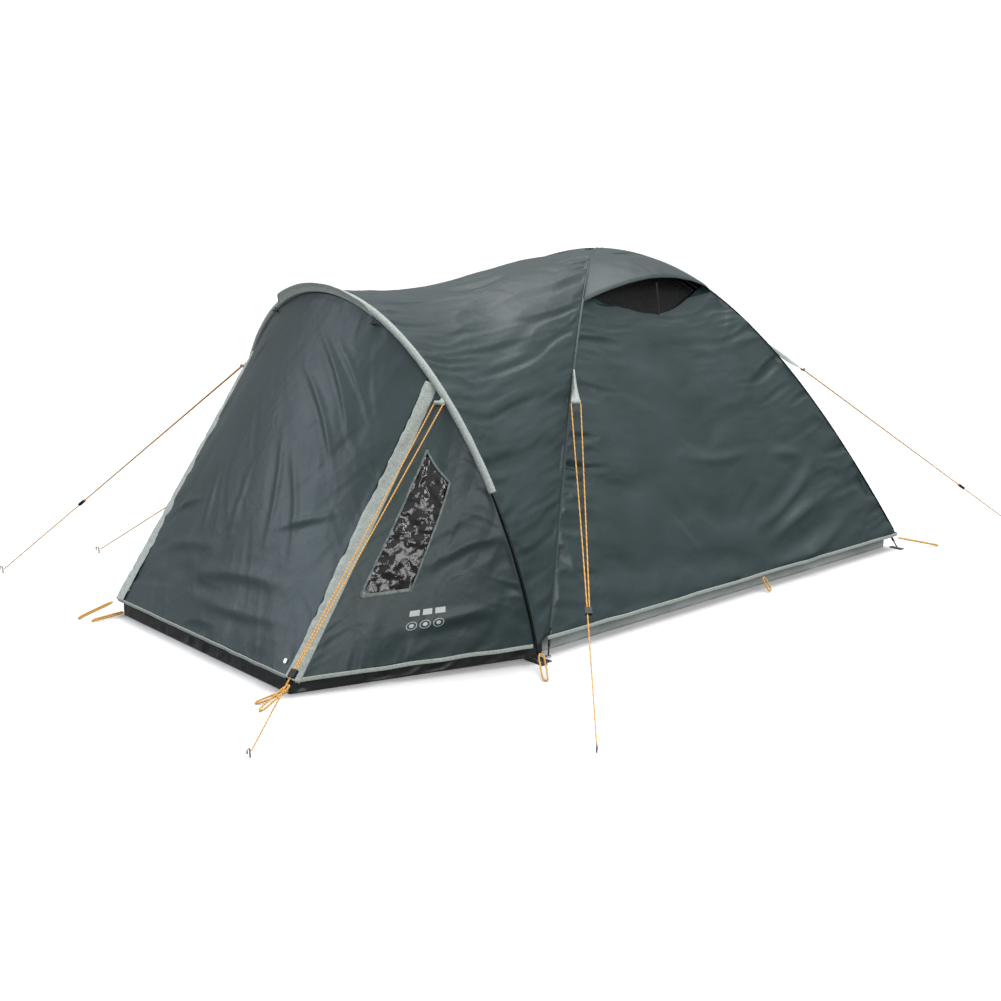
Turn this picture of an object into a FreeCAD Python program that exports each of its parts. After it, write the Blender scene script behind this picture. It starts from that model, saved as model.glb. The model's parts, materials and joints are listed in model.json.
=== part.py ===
"""A two-person dome tent with a hooped porch, pitched and guyed out.

Two fibreglass poles cross over the sleeping room, and a third hoop leans out over the
porch.  The flysheet lies over the poles, the inner tent hangs under them.  Millimetres,
+Z up, porch facing -Y, the ground at z = 0.
"""
import FreeCAD, Part
import math
import os
from FreeCAD import Vector

# ---- Driving dimensions -------------------------------------------------------------
DOME_HALF_WIDTH = 788.0
DOME_HALF_LENGTH = 1000.0
DOME_CENTRE_Y = 398.0
DOME_HEIGHT = 1200.0
HOOP_HALF_WIDTH = 797.0
HOOP_HEIGHT = 1114.0
HOOP_FOOT_Y = -645.0
HOOP_LEAN = 0.194
HEM_HEIGHT = 59.0
DOOR_HALF_FOOT = 516.0
DOOR_HALF_HEAD = 484.0
DOOR_FOOT_Y = -1385.0
CLOTH = 2.0

# Poles: 8.5 mm fibreglass tube, stepped inside the flysheet as a share of its size.
POLE_RADIUS = 4.25
POLE_BORE = 2.75
POLE_INSET = {"a": 0.0204, "b": 0.0125}
POLE_END_U = 0.983
DOME_SECTIONS = 8
HOOP_SECTIONS = 7
JOINT_GAP = 0.6
FERRULE_HALF = 30.0
FERRULE_RADIUS = 5.2
FERRULE_BORE = 4.6
SHOCK_CORD_RADIUS = 1.25
TIP_RADIUS = 2.5
TIP_FOOT = 3.4
RING_RADIUS = 8.0
RING_WIRE = 1.4
WEBBING_TOP = 2.4
WEBBING_START_X = 741.0
CLIP_RADIUS = 6.9
CLIP_BORE = 4.6

# Inner tent and its groundsheets.
INNER_INSET = 0.055
INNER_CLOTH = 1.5
TRAY_HALF_WIDTH = 722.0
TRAY_FRONT_Y = -575.0
TRAY_REAR_Y = 1352.0
TRAY_WALL = 80.0
PORCH_WALL = 52.0
INNER_DOOR_HALF = 330.0
INNER_DOOR_FOOT = 120.0
INNER_DOOR_HEAD = 700.0
INNER_DOOR_GAP = 3.0

# Door, its zips and the storm flaps beside them.
DOOR_HINGE_Z = 840.0
DOOR_GAP = 2.0
SEAM_OFFSET = 10.0
SEAM_SHIFT = 4.5
TAPE_EDGE = 1.5
TAPE_WIDTH = 25.0
FLAP_WIDTH = 42.0
FLAP_LIFT = 10.0
SLEEVE_RADIUS = 9.0
SLEEVE_BORE = 6.5
SLEEVE_END_X = 697.0
BROW_HALF = 262.0
BROW_SHAPE = ((-4.0, -10.4), (-13.0, -20.0), (-22.0, -31.0))

# Roof vents: each hood turns about a line across its top.
VENT_HINGE_U = 0.12
VENT_RIM_U = 0.35
VENT_OPEN_DEG = 20.0
VENT_LIFT = 5.0
VENT_RIM_HALF = 232.0
VENT_SEAM_GAP = 42.0
VENT_HOLE_TOP_X = 130.0
VENT_HOLE_FOOT_X = 331.0
STRUT_LENGTH = 118.0
STRUT_PIVOT = (329.0, 972.0)
STRUT_LEAN_DEG = 8.0

# Guylines: 4 mm cord, doubled from the tab down to the runner, single to the peg.
CORD_RADIUS = 2.0
CORD_TURN = 4.5
TAB_HALF = 16.0
TAB_LENGTH = 175.0
TAB_U = 0.53
RUNNER_SHARE = 0.66
RUNNER_HALF = 3.2
RUNNER_LENGTH = 24.0
LOOP_RADIUS = 2.0

ORIGIN = Vector(0, 0, 0)
X_AXIS = Vector(1, 0, 0)
Y_AXIS = Vector(0, 1, 0)
Z_AXIS = Vector(0, 0, 1)
DOME_CENTRE = Vector(0, DOME_CENTRE_Y, 0)


# ---- Curves -------------------------------------------------------------------------
def arch(u):
    """Height of a dome pole as a share of the dome's, from u = 0 at the top to 1 at the foot."""
    return 0.5 * math.cos(math.pi * u / 2) + 0.5 * (1 - u * u)


def dome_point(u, slant, inset=0.0):
    """Point on a dome seam: slant +1 runs front left to rear right, -1 the other way."""
    size = 1 - inset
    x = DOME_HALF_WIDTH * u * size
    y = DOME_CENTRE_Y + slant * DOME_HALF_LENGTH * u * size
    return Vector(x, y, DOME_HEIGHT * arch(u) * size)


def hoop_point(angle, inset=0.0, shift=0.0):
    """Point on the porch hoop, with the angle in degrees from its top."""
    turn = math.radians(angle)
    z = (HOOP_HEIGHT - inset) * math.cos(turn)
    x = (HOOP_HALF_WIDTH - inset) * math.sin(turn)
    return Vector(x, HOOP_FOOT_Y - HOOP_LEAN * z + shift, z)


def even_steps(curve, start, end, count):
    """Parameters that cut a curve into stretches of equal length."""
    fine = 400
    values = [start + (end - start) * i / fine for i in range(fine + 1)]
    points = [curve(value) for value in values]
    lengths = [0.0]
    for before, after in zip(points, points[1:]):
        lengths.append(lengths[-1] + (after - before).Length)
    steps = []
    for k in range(count + 1):
        wanted = lengths[-1] * k / count
        index = min(range(fine + 1), key=lambda i: abs(lengths[i] - wanted))
        steps.append(values[index])
    return steps


def mix(a, b, share):
    return a * (1 - share) + b * share


def unit(vector):
    return vector * (1 / vector.Length)


def arc_through(start, middle, end):
    """Circular arc through three points."""
    circle = Part.Circle(start, middle, end)
    first, last = circle.parameter(start), circle.parameter(end)
    if last <= first:
        last += 2 * math.pi
    return Part.ArcOfCircle(circle, first, last)


# ---- Solids -------------------------------------------------------------------------
def ring_face(centre, direction, radius, bore):
    outer = Part.Wire(Part.Circle(centre, direction, radius).toShape())
    if bore == 0:
        return Part.Face(outer)
    inner = Part.Wire(Part.Circle(centre, direction, bore).toShape())
    return Part.makeFace([outer, inner], "Part::FaceMakerBullseye")


def arc_tube(arc, radius, bore=0.0):
    """Round tube along a circular arc."""
    start = arc.FirstParameter
    face = ring_face(arc.value(start), arc.tangent(start)[0], radius, bore)
    return face.revolve(arc.Center, arc.Axis, math.degrees(arc.LastParameter - start))


def straight_tube(a, b, radius, bore=0.0):
    face = ring_face(a, b - a, radius, bore)
    return face.extrude(b - a)


def path_tube(edges, radius):
    """Round tube along straight and arc edges that meet tangentially."""
    pieces = []
    for edge in edges:
        if edge.Curve.TypeId == "Part::GeomLine":
            ends = [vertex.Point for vertex in edge.Vertexes]
            pieces.append(straight_tube(ends[0], ends[1], radius))
        else:
            first, last = edge.ParameterRange
            circle = edge.Curve
            face = ring_face(edge.valueAt(first), edge.tangentAt(first), radius, 0.0)
            pieces.append(face.revolve(circle.Center, circle.Axis, math.degrees(last - first)))
    return pieces[0].multiFuse(pieces[1:]).removeSplitter()


def closed_solid(faces):
    shell = Part.makeShell(faces)
    shell.sewShape()
    solid = Part.makeSolid(shell)
    if solid.Volume < 0:
        solid.reverse()
    return solid


def triangle(a, b, c):
    return Part.Face(Part.makePolygon([a, b, c, a]))


def quad(a, b, c, d):
    """Two triangles that fill a four-cornered patch, or one if a side has no length."""
    corners = [(a, b, c), (a, c, d)]
    return [triangle(*t) for t in corners if (t[1] - t[0]).cross(t[2] - t[0]).Length > 1e-3]


def vertex_normal(grid, i, j):
    """Direction across a grid of points at one of them."""
    rows, columns = len(grid), len(grid[0])
    along = grid[min(i + 1, rows - 1)][j] - grid[max(i - 1, 0)][j]
    across = grid[i][min(j + 1, columns - 1)] - grid[i][max(j - 1, 0)]
    return unit(along.cross(across))


def cloth_shell(grid, thickness=CLOTH, toward=DOME_CENTRE, lift=0.0):
    """Closed sheet of cloth: the grid is its outer face, its thickness goes inward."""
    rows, columns = len(grid), len(grid[0])
    middle = grid[rows // 2][columns // 2]
    side = vertex_normal(grid, rows // 2, columns // 2)
    sign = 1 if side.dot(toward - middle) > 0 else -1
    outer, inner = [], []
    for i in range(rows):
        inward = [vertex_normal(grid, i, j) * sign for j in range(columns)]
        outer.append([grid[i][j] - inward[j] * lift for j in range(columns)])
        inner.append([outer[i][j] + inward[j] * thickness for j in range(columns)])
    faces = []
    for i in range(rows - 1):
        for j in range(columns - 1):
            for layer in (outer, inner):
                faces += quad(layer[i][j], layer[i + 1][j], layer[i + 1][j + 1], layer[i][j + 1])
        for j in (0, columns - 1):
            faces += quad(outer[i][j], outer[i + 1][j], inner[i + 1][j], inner[i][j])
    for i in (0, rows - 1):
        for j in range(columns - 1):
            faces += quad(outer[i][j], outer[i][j + 1], inner[i][j + 1], inner[i][j])
    return closed_solid(faces)


def prism(corners, along):
    """Straight prism over a flat polygon."""
    return Part.Face(Part.makePolygon(corners + corners[:1])).extrude(along)


def bar(start, end, across, up, half_width, low, high):
    """Rectangular bar from start to end, low to high along up, half_width to either side."""
    corner = [start - across * half_width + up * low, start + across * half_width + up * low]
    corner += [start + across * half_width + up * high, start - across * half_width + up * high]
    return prism(corner, end - start)


def mirrored(shape):
    return shape.mirror(ORIGIN, X_AXIS)


def mirrored_point(point):
    return Vector(-point.x, point.y, point.z)


def both_sides(shapes):
    return shapes + [mirrored(shape) for shape in shapes]


def export(node, shapes):
    solids = shapes if isinstance(shapes, list) else [shapes]
    for shape in solids:
        if not shape.isValid() or shape.Volume <= 0:
            print("check", node, shape.isValid(), shape.Volume)
    whole = Part.makeCompound([solid for shape in solids for solid in shape.Solids])
    whole.exportStep("parts/" + node + ".step")


# ---- Poles --------------------------------------------------------------------------
def pole_arcs(curve, start, end, count):
    """Circular arcs that follow a bent pole, one for each of its sections."""
    steps = even_steps(curve, start, end, count)
    return [arc_through(curve(a), curve((a + b) / 2), curve(b)) for a, b in zip(steps, steps[1:])]


def shortened(arc, at_start, at_end):
    first = arc.FirstParameter + at_start / arc.Radius
    last = arc.LastParameter - at_end / arc.Radius
    return arc_through(arc.value(first), arc.value((first + last) / 2), arc.value(last))


def pole_parts(arcs):
    """Sections, ferrules, elastic cord and end tips of one pole."""
    sections = [arc_tube(shortened(arc, JOINT_GAP, JOINT_GAP), POLE_RADIUS, POLE_BORE) for arc in arcs]
    ferrules = []
    for before, after in zip(arcs, arcs[1:]):
        start = before.value(before.LastParameter - FERRULE_HALF / before.Radius)
        end = after.value(after.FirstParameter + FERRULE_HALF / after.Radius)
        joint = mix(before.value(before.LastParameter), after.value(after.FirstParameter), 0.5)
        ferrules.append(arc_tube(arc_through(start, joint, end), FERRULE_RADIUS, FERRULE_BORE))
    cords = []
    for index, arc in enumerate(arcs):
        at_start = 1.5 if index == 0 else 0.02
        at_end = 1.5 if index == len(arcs) - 1 else 0.02
        cords.append(arc_tube(shortened(arc, at_start, at_end), SHOCK_CORD_RADIUS))
    tips = []
    ends = ((arcs[0], arcs[0].FirstParameter, -1), (arcs[-1], arcs[-1].LastParameter, 1))
    for arc, parameter, outward in ends:
        foot = arc.value(parameter)
        way = unit(arc.tangent(parameter)[0]) * outward
        length = (foot.z - TIP_FOOT - TIP_RADIUS * math.hypot(way.x, way.y)) / -way.z
        collar = straight_tube(foot, foot + way * 6, POLE_RADIUS)
        end = foot + way * length
        tips.append((collar.fuse(straight_tube(foot + way * 6, end, TIP_RADIUS)), end))
    return sections, ferrules, cords, tips


def build_poles():
    """The two crossing dome poles and the porch hoop; returns where each tip ends."""
    ferrules, cords, tips = [], [], []
    curves = {
        "dome_pole_a": (lambda u: dome_point(u, 1, POLE_INSET["a"]), POLE_END_U, DOME_SECTIONS),
        "dome_pole_b": (lambda u: dome_point(u, -1, POLE_INSET["b"]), POLE_END_U, DOME_SECTIONS),
        "porch_pole": (hoop_point, 88.2, HOOP_SECTIONS),
    }
    for node, (curve, end, count) in curves.items():
        sections, own_ferrules, own_cords, own_tips = pole_parts(pole_arcs(curve, -end, end, count))
        export(node, sections)
        ferrules += own_ferrules
        cords += own_cords
        tips += own_tips
    export("pole_ferrules", ferrules)
    export("pole_shock_cords", cords)
    export("pole_tips", [tip for tip, end in tips])
    return [end for tip, end in tips]


def build_corners(tip_ends):
    """Black webbing at each pole foot, with the ring that its tip stands in."""
    rings, straps = [], []
    for end in tip_ends:
        side = 1 if end.x > 0 else -1
        ring_centre = Vector(end.x, end.y, WEBBING_TOP + RING_WIRE + 0.1)
        rings.append(Part.makeTorus(RING_RADIUS, RING_WIRE, ring_centre))
        inner_end = Vector(side * WEBBING_START_X, end.y, 0)
        outer_end = Vector(end.x + side * 26, end.y, 0)
        straps.append(bar(inner_end, outer_end, Y_AXIS, Z_AXIS, 12.0, 0.2, WEBBING_TOP))
    export("corner_rings", rings)
    export("corner_webbing", straps)


def build_clips():
    """Plastic clips that hang the inner tent from the middle of each dome pole section."""
    clips = []
    for slant, inset in ((1, POLE_INSET["a"]), (-1, POLE_INSET["b"])):
        steps = even_steps(lambda u: dome_point(u, slant, inset), -POLE_END_U, POLE_END_U, DOME_SECTIONS)
        for low, high in zip(steps, steps[1:]):
            u = (low + high) / 2
            here = dome_point(u, slant, inset)
            along = unit(dome_point(u + 0.01, slant, inset) - dome_point(u - 0.01, slant, inset))
            inward = DOME_CENTRE - here
            inward = unit(inward - along * inward.dot(along))
            across = along.cross(inward)
            ring = straight_tube(here - along * 5, here + along * 5, CLIP_RADIUS, CLIP_BORE)
            stem = bar(here + inward * 6.6, here + inward * 16.0, across, along, 4.0, -4.0, 4.0)
            clips.append(ring.fuse(stem))
    export("pole_clips", clips)


# ---- Flysheet over the dome ---------------------------------------------------------
def profile_points(inset, first_u, last_u, steps, half_span):
    """Points of the dome's outline, out from its centre, with the way that faces outward."""
    points = []
    for i in range(steps + 1):
        u = first_u + (last_u - first_u) * i / steps
        slope = -DOME_HEIGHT * (math.pi / 4 * math.sin(math.pi * u / 2) + u)
        length = math.hypot(slope, half_span)
        out = (-slope / length, half_span / length)
        size = 1 - inset
        points.append((half_span * u * size, DOME_HEIGHT * arch(u) * size, out))
    return points


def profile_sheet(points, near, far, place, along):
    """Sheet that follows the outline, from near to far off its line, swept along."""
    outer = [place(r + out[0] * far, z + out[1] * far) for r, z, out in points]
    inner = [place(r + out[0] * near, z + out[1] * near) for r, z, out in reversed(points)]
    return prism(outer + inner, along)


def side_place(start_y):
    return lambda reach, z: Vector(reach, start_y, z)


def rear_place(side):
    """Places an outline along +Y or -Y from the dome's centre, starting at the left."""
    return lambda reach, z: Vector(-DOME_HALF_WIDTH, DOME_CENTRE_Y + side * reach, z)


def side_wedge(gap):
    """Everything between the two right-hand dome seams."""
    length = DOME_HALF_LENGTH * 1.1
    width = DOME_HALF_WIDTH * 1.1
    corners = [Vector(gap, DOME_CENTRE_Y, -10)]
    corners += [Vector(gap + width, DOME_CENTRE_Y + side * length, -10) for side in (-1, 1)]
    return prism(corners, Z_AXIS * 1400)


def end_wedge(gap, side):
    """Everything between the two seams at the rear (+1) or the front (-1)."""
    length = side * DOME_HALF_LENGTH * 1.1
    width = DOME_HALF_WIDTH * 1.1
    tip = DOME_CENTRE_Y + side * gap
    corners = [Vector(0, tip, -10), Vector(width, tip + length, -10), Vector(-width, tip + length, -10)]
    return prism(corners, Z_AXIS * 1400)


def hem_u(height, inset=0.0):
    """Where the outline comes down to a height."""
    low, high = 0.0, 1.0
    for _ in range(40):
        middle = (low + high) / 2
        if DOME_HEIGHT * arch(middle) * (1 - inset) > height:
            low = middle
        else:
            high = middle
    return low


def side_sheet(inset, near, far, first_u, last_u, steps, gap):
    start = DOME_CENTRE_Y - DOME_HALF_LENGTH
    points = profile_points(inset, first_u, last_u, steps, DOME_HALF_WIDTH)
    sheet = profile_sheet(points, near, far, side_place(start), Y_AXIS * 2 * DOME_HALF_LENGTH)
    return sheet.common(side_wedge(gap))


def end_sheet(inset, near, far, first_u, last_u, steps, gap, side):
    points = profile_points(inset, first_u, last_u, steps, DOME_HALF_LENGTH)
    sheet = profile_sheet(points, near, far, rear_place(side), X_AXIS * 2 * DOME_HALF_WIDTH)
    return sheet.common(end_wedge(gap, side))


def vent_hinge():
    """The vent's hinge line: x and z, just above the flysheet."""
    point = profile_points(0, VENT_HINGE_U, VENT_RIM_U, 1, DOME_HALF_WIDTH)[0]
    return point[0] + point[2][0] * VENT_LIFT, point[1] + point[2][1] * VENT_LIFT


def vent_hole_half(x):
    """Half the length of the vent's hole along the tent, at a distance out from the ridge."""
    return DOME_HALF_LENGTH / DOME_HALF_WIDTH * x - 75.0


def vent_block(margin):
    """Tapered block over the vent's hole, seen from above."""
    top = VENT_HOLE_TOP_X + margin
    foot = VENT_HOLE_FOOT_X - margin
    corners = []
    for x, side in ((top, -1), (foot, -1), (foot, 1), (top, 1)):
        half = min(vent_hole_half(x), 235.0) - margin
        corners.append(Vector(x, DOME_CENTRE_Y + side * half, 800))
    return prism(corners, Z_AXIS * 600)


def build_dome_sheets():
    side = side_sheet(0, -CLOTH, 0, 0.005, hem_u(HEM_HEIGHT), 14, 2.0)
    side = side.cut(vent_block(0))
    export("fly_side_right", side)
    export("fly_side_left", mirrored(side))
    export("fly_rear", end_sheet(0, -CLOTH, 0, 0.005, hem_u(HEM_HEIGHT), 14, 2.0, 1))


# ---- Roof vents ---------------------------------------------------------------------
def build_vents():
    hinge_x, hinge_z = vent_hinge()
    points = profile_points(0, VENT_HINGE_U + 0.006, VENT_RIM_U, 6, DOME_HALF_WIDTH)
    start = DOME_CENTRE_Y - DOME_HALF_LENGTH
    sheet = profile_sheet(points, VENT_LIFT - 1, VENT_LIFT + 1, side_place(start), Y_AXIS * 2000)
    reach = DOME_HALF_WIDTH * VENT_RIM_U * 1.2
    middle = Part.makeBox(reach, 2 * VENT_RIM_HALF, 600, Vector(0, DOME_CENTRE_Y - VENT_RIM_HALF, 800))
    hood = sheet.common(side_wedge(VENT_SEAM_GAP)).common(middle)
    hood.rotate(Vector(hinge_x, DOME_CENTRE_Y, hinge_z), Y_AXIS, -VENT_OPEN_DEG)
    export("vent_hood_right", hood)
    export("vent_hood_left", mirrored(hood))
    mesh = side_sheet(0, -16.0, -15.0, 0.15, 0.45, 4, 2.0).common(vent_block(-8.0))
    export("vent_mesh", both_sides([mesh]))
    pivot = Vector(STRUT_PIVOT[0], DOME_CENTRE_Y - 4, STRUT_PIVOT[1])
    lean = math.radians(STRUT_LEAN_DEG)
    way = Vector(-math.sin(lean), 0, math.cos(lean))
    across = way.cross(Y_AXIS)
    strut = bar(pivot - way * 3, pivot + way * STRUT_LENGTH, Y_AXIS, across, 5.0, -0.8, 0.8)
    export("vent_strut_right", strut)
    export("vent_strut_left", mirrored(strut))


# ---- Flysheet over the porch --------------------------------------------------------
def tunnel_point(turn, share):
    """Roof between the front dome seams (share 0) and the hoop (share 1)."""
    u = abs(turn)
    slant = -1 if turn >= 0 else 1
    dome = dome_point(turn, slant) - Y_AXIS * 3.0
    hoop = hoop_point(90 * turn, SEAM_SHIFT, SEAM_OFFSET)
    point = mix(dome, hoop, share)
    neck = 1 - 0.048 * math.sin(math.pi * share ** 1.6) * (1 - u ** 4)
    return Vector(point.x * neck, point.y, point.z * neck)


def build_tunnel():
    turns = [0.968 * (i / 9.0) for i in range(-9, 10)]
    grid = [[tunnel_point(turn, j / 5.0) for j in range(6)] for turn in turns]
    export("fly_tunnel", cloth_shell(grid, toward=Vector(0, -300, 300)))


def door_head(share):
    """Where the door cloth meets the hoop, share -1 to 1 across it."""
    x = DOOR_HALF_HEAD * share
    angle = math.degrees(math.asin(x / (HOOP_HALF_WIDTH - SEAM_OFFSET)))
    return hoop_point(angle, SEAM_OFFSET, -SEAM_SHIFT)


def door_foot(share):
    return Vector(DOOR_HALF_FOOT * share, DOOR_FOOT_Y, HEM_HEIGHT)


def door_point(share, height):
    """Point on the door cloth at a height above the ground."""
    foot, head = door_foot(share), door_head(share)
    return mix(foot, head, (height - foot.z) / (head.z - foot.z))


def door_hinge_y():
    return door_point(0, DOOR_HINGE_Z).y - 1.0


class DoorEdge:
    """Straight right-hand edge of the door, with the zip's own directions."""

    foot = door_foot(1)
    head = door_head(1)
    way = unit(head - foot)
    out = hoop_point(72.0, SEAM_OFFSET, -SEAM_SHIFT) - mix(foot, head, 0.5)
    side = unit(out - way * out.dot(way))
    face = side.cross(way)
    length = (head - foot).Length


def edge_bar(start, end, side_low, side_high, low, high):
    """Bar along the door's edge, between two distances to its side and two off its face."""
    middle = (side_low + side_high) / 2
    a = DoorEdge.foot + DoorEdge.way * start + DoorEdge.side * middle
    b = DoorEdge.foot + DoorEdge.way * end + DoorEdge.side * middle
    return bar(a, b, DoorEdge.side, DoorEdge.face, (side_high - side_low) / 2, low, high)


def porch_side_point(up, share):
    """Side of the porch: up the door's edge, and out from it (0) to the hoop (1)."""
    edge = mix(DoorEdge.foot, DoorEdge.head, up) + DoorEdge.side * (TAPE_WIDTH + 0.5)
    foot_angle = math.degrees(math.acos(HEM_HEIGHT / (HOOP_HEIGHT - SEAM_OFFSET)))
    head_angle = math.degrees(math.asin(DOOR_HALF_HEAD / (HOOP_HALF_WIDTH - SEAM_OFFSET))) + 3.0
    return mix(edge, hoop_point(mix(foot_angle, head_angle, up), SEAM_OFFSET, -SEAM_SHIFT), share)


def window_block(margin):
    """Block through the porch side, over the window."""
    corners = [porch_side_point(0.755, 0.36), porch_side_point(0.625, 0.65)]
    corners += [porch_side_point(0.26, 0.415), porch_side_point(0.26, 0.14)]
    middle = (corners[0] + corners[1] + corners[2] + corners[3]) * 0.25
    flat_corners = []
    for corner in corners:
        pulled = corner + unit(middle - corner) * margin
        flat_corners.append(pulled - DoorEdge.face * (pulled - middle).dot(DoorEdge.face))
    lowered = [corner - DoorEdge.face * 120 for corner in flat_corners]
    return prism(lowered, DoorEdge.face * 240)


def build_porch_sides():
    grid = [[porch_side_point(i / 9.0 * 0.985, j / 4.0) for j in range(5)] for i in range(10)]
    inside = Vector(0, -700, 300)
    side = cloth_shell(grid, toward=inside).cut(window_block(0))
    export("fly_porch_side_right", side)
    export("fly_porch_side_left", mirrored(side))
    film = cloth_shell(grid, 0.8, toward=inside, lift=-0.6).common(window_block(1.5))
    export("windows", both_sides([film]))


def build_door():
    shares = [0.996 * (i / 6.0) for i in range(-6, 7)]
    inside = Vector(0, -700, 300)
    rows = [HEM_HEIGHT + (DOOR_HINGE_Z - DOOR_GAP - HEM_HEIGHT) * i / 5.0 for i in range(6)]
    door = [[door_point(share, height) for height in rows] for share in shares]
    export("door_panel", cloth_shell(door, toward=inside))
    arch_grid = []
    for share in shares:
        low, high = door_point(share, DOOR_HINGE_Z + DOOR_GAP), door_head(share)
        arch_grid.append([mix(low, high, j / 3.0) for j in range(4)])
    export("fly_door_arch", cloth_shell(arch_grid, toward=inside))
    binding_start = Vector(-DOOR_HALF_FOOT + 5, DOOR_FOOT_Y, HEM_HEIGHT)
    binding_end = Vector(DOOR_HALF_FOOT - 5, DOOR_FOOT_Y, HEM_HEIGHT)
    export("door_hem", bar(binding_start, binding_end, Z_AXIS, Y_AXIS * -1, 6.0, 3.5, 5.5))
    studs = []
    for share in (-0.93, 0.93):
        here = door_point(share, HEM_HEIGHT + 34)
        across = door_point(share + 0.02, HEM_HEIGHT + 34) - here
        face = unit(across.cross(door_point(share, HEM_HEIGHT + 54) - here))
        face = face if face.y < 0 else face * -1
        cap = straight_tube(here + face * 1.6, here + face * 2.8, 7.5)
        studs.append(cap.fuse(straight_tube(here + face * 2.8, here + face * 4.2, 4.5)))
    export("snap_studs", studs)


def build_zips():
    end = DoorEdge.length - 34
    tape = edge_bar(4, end, TAPE_EDGE, TAPE_WIDTH, -0.6, 0.0)
    chain = edge_bar(8, end, 10.5, 15.5, 0.0, 2.4)
    export("door_zips", both_sides([tape.fuse(chain).removeSplitter()]))
    plate = edge_bar(14, 30, 7.6, 18.4, 2.9, 4.2)
    cheeks = [edge_bar(14, 30, 7.6, 9.4, 0.5, 2.9), edge_bar(14, 30, 16.6, 18.4, 0.5, 2.9)]
    bridge = edge_bar(17, 27, 12.0, 14.0, 4.2, 5.2)
    puller = edge_bar(19, 52, 10.8, 15.2, 5.2, 6.6)
    slider = plate.multiFuse(cheeks + [bridge, puller]).removeSplitter()
    export("zip_slider_right", slider)
    export("zip_slider_left", mirrored(slider))
    export("storm_flaps", both_sides([edge_bar(-2, end, 1.0, FLAP_WIDTH, FLAP_LIFT, FLAP_LIFT + 1.4)]))


def build_hoop_sleeve():
    """Cloth sleeve that the porch pole runs in, with its wider brow over the door."""
    end_angle = math.degrees(math.asin(SLEEVE_END_X / HOOP_HALF_WIDTH))
    arcs = pole_arcs(hoop_point, -end_angle, end_angle, 8)
    export("hoop_sleeve", [arc_tube(arc, SLEEVE_RADIUS, SLEEVE_BORE) for arc in arcs])
    brow_angle = math.degrees(math.asin(BROW_HALF / HOOP_HALF_WIDTH))
    grid = []
    for i in range(-5, 6):
        angle = brow_angle * i / 5.0
        grid.append([hoop_point(angle, inset, shift) for inset, shift in BROW_SHAPE])
    export("brow_band", cloth_shell(grid, 1.2, toward=Vector(0, 0, 900)))
    toggles = []
    for side in (-1, 1):
        here = hoop_point(side * (brow_angle + 1.2), 8.0, -21.0)
        stem = straight_tube(here, here - Z_AXIS * 10, 1.6)
        low = here - Z_AXIS * 12
        toggles.append(straight_tube(low - X_AXIS * 13, low + X_AXIS * 13, 3.6).fuse(stem))
    export("door_toggles", toggles)


def build_hems():
    """Pale binding along the flysheet's lower edge."""
    edge_x = DOME_HALF_WIDTH * hem_u(HEM_HEIGHT) + 0.6
    edge_y = DOME_HALF_LENGTH * hem_u(HEM_HEIGHT)
    front, rear = DOME_CENTRE_Y - edge_y - 8, DOME_CENTRE_Y + edge_y
    front_corner = Vector(edge_x, front, HEM_HEIGHT)
    rear_corner = Vector(edge_x, rear, HEM_HEIGHT)
    right = bar(front_corner, rear_corner, Z_AXIS, X_AXIS, 6.0, 0.8, 2.8)
    rear_corner.y += 0.6
    back = bar(mirrored_point(rear_corner), rear_corner, Z_AXIS, Y_AXIS, 6.0, 0.8, 2.8)
    start, end = porch_side_point(0, 0.0), porch_side_point(0, 0.985)
    out = unit((end - start).cross(Z_AXIS))
    porch = bar(start, end, Z_AXIS, out, 6.0, 1.2, 3.2)
    export("hem_binding", both_sides([right, porch]) + [back])


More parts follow.
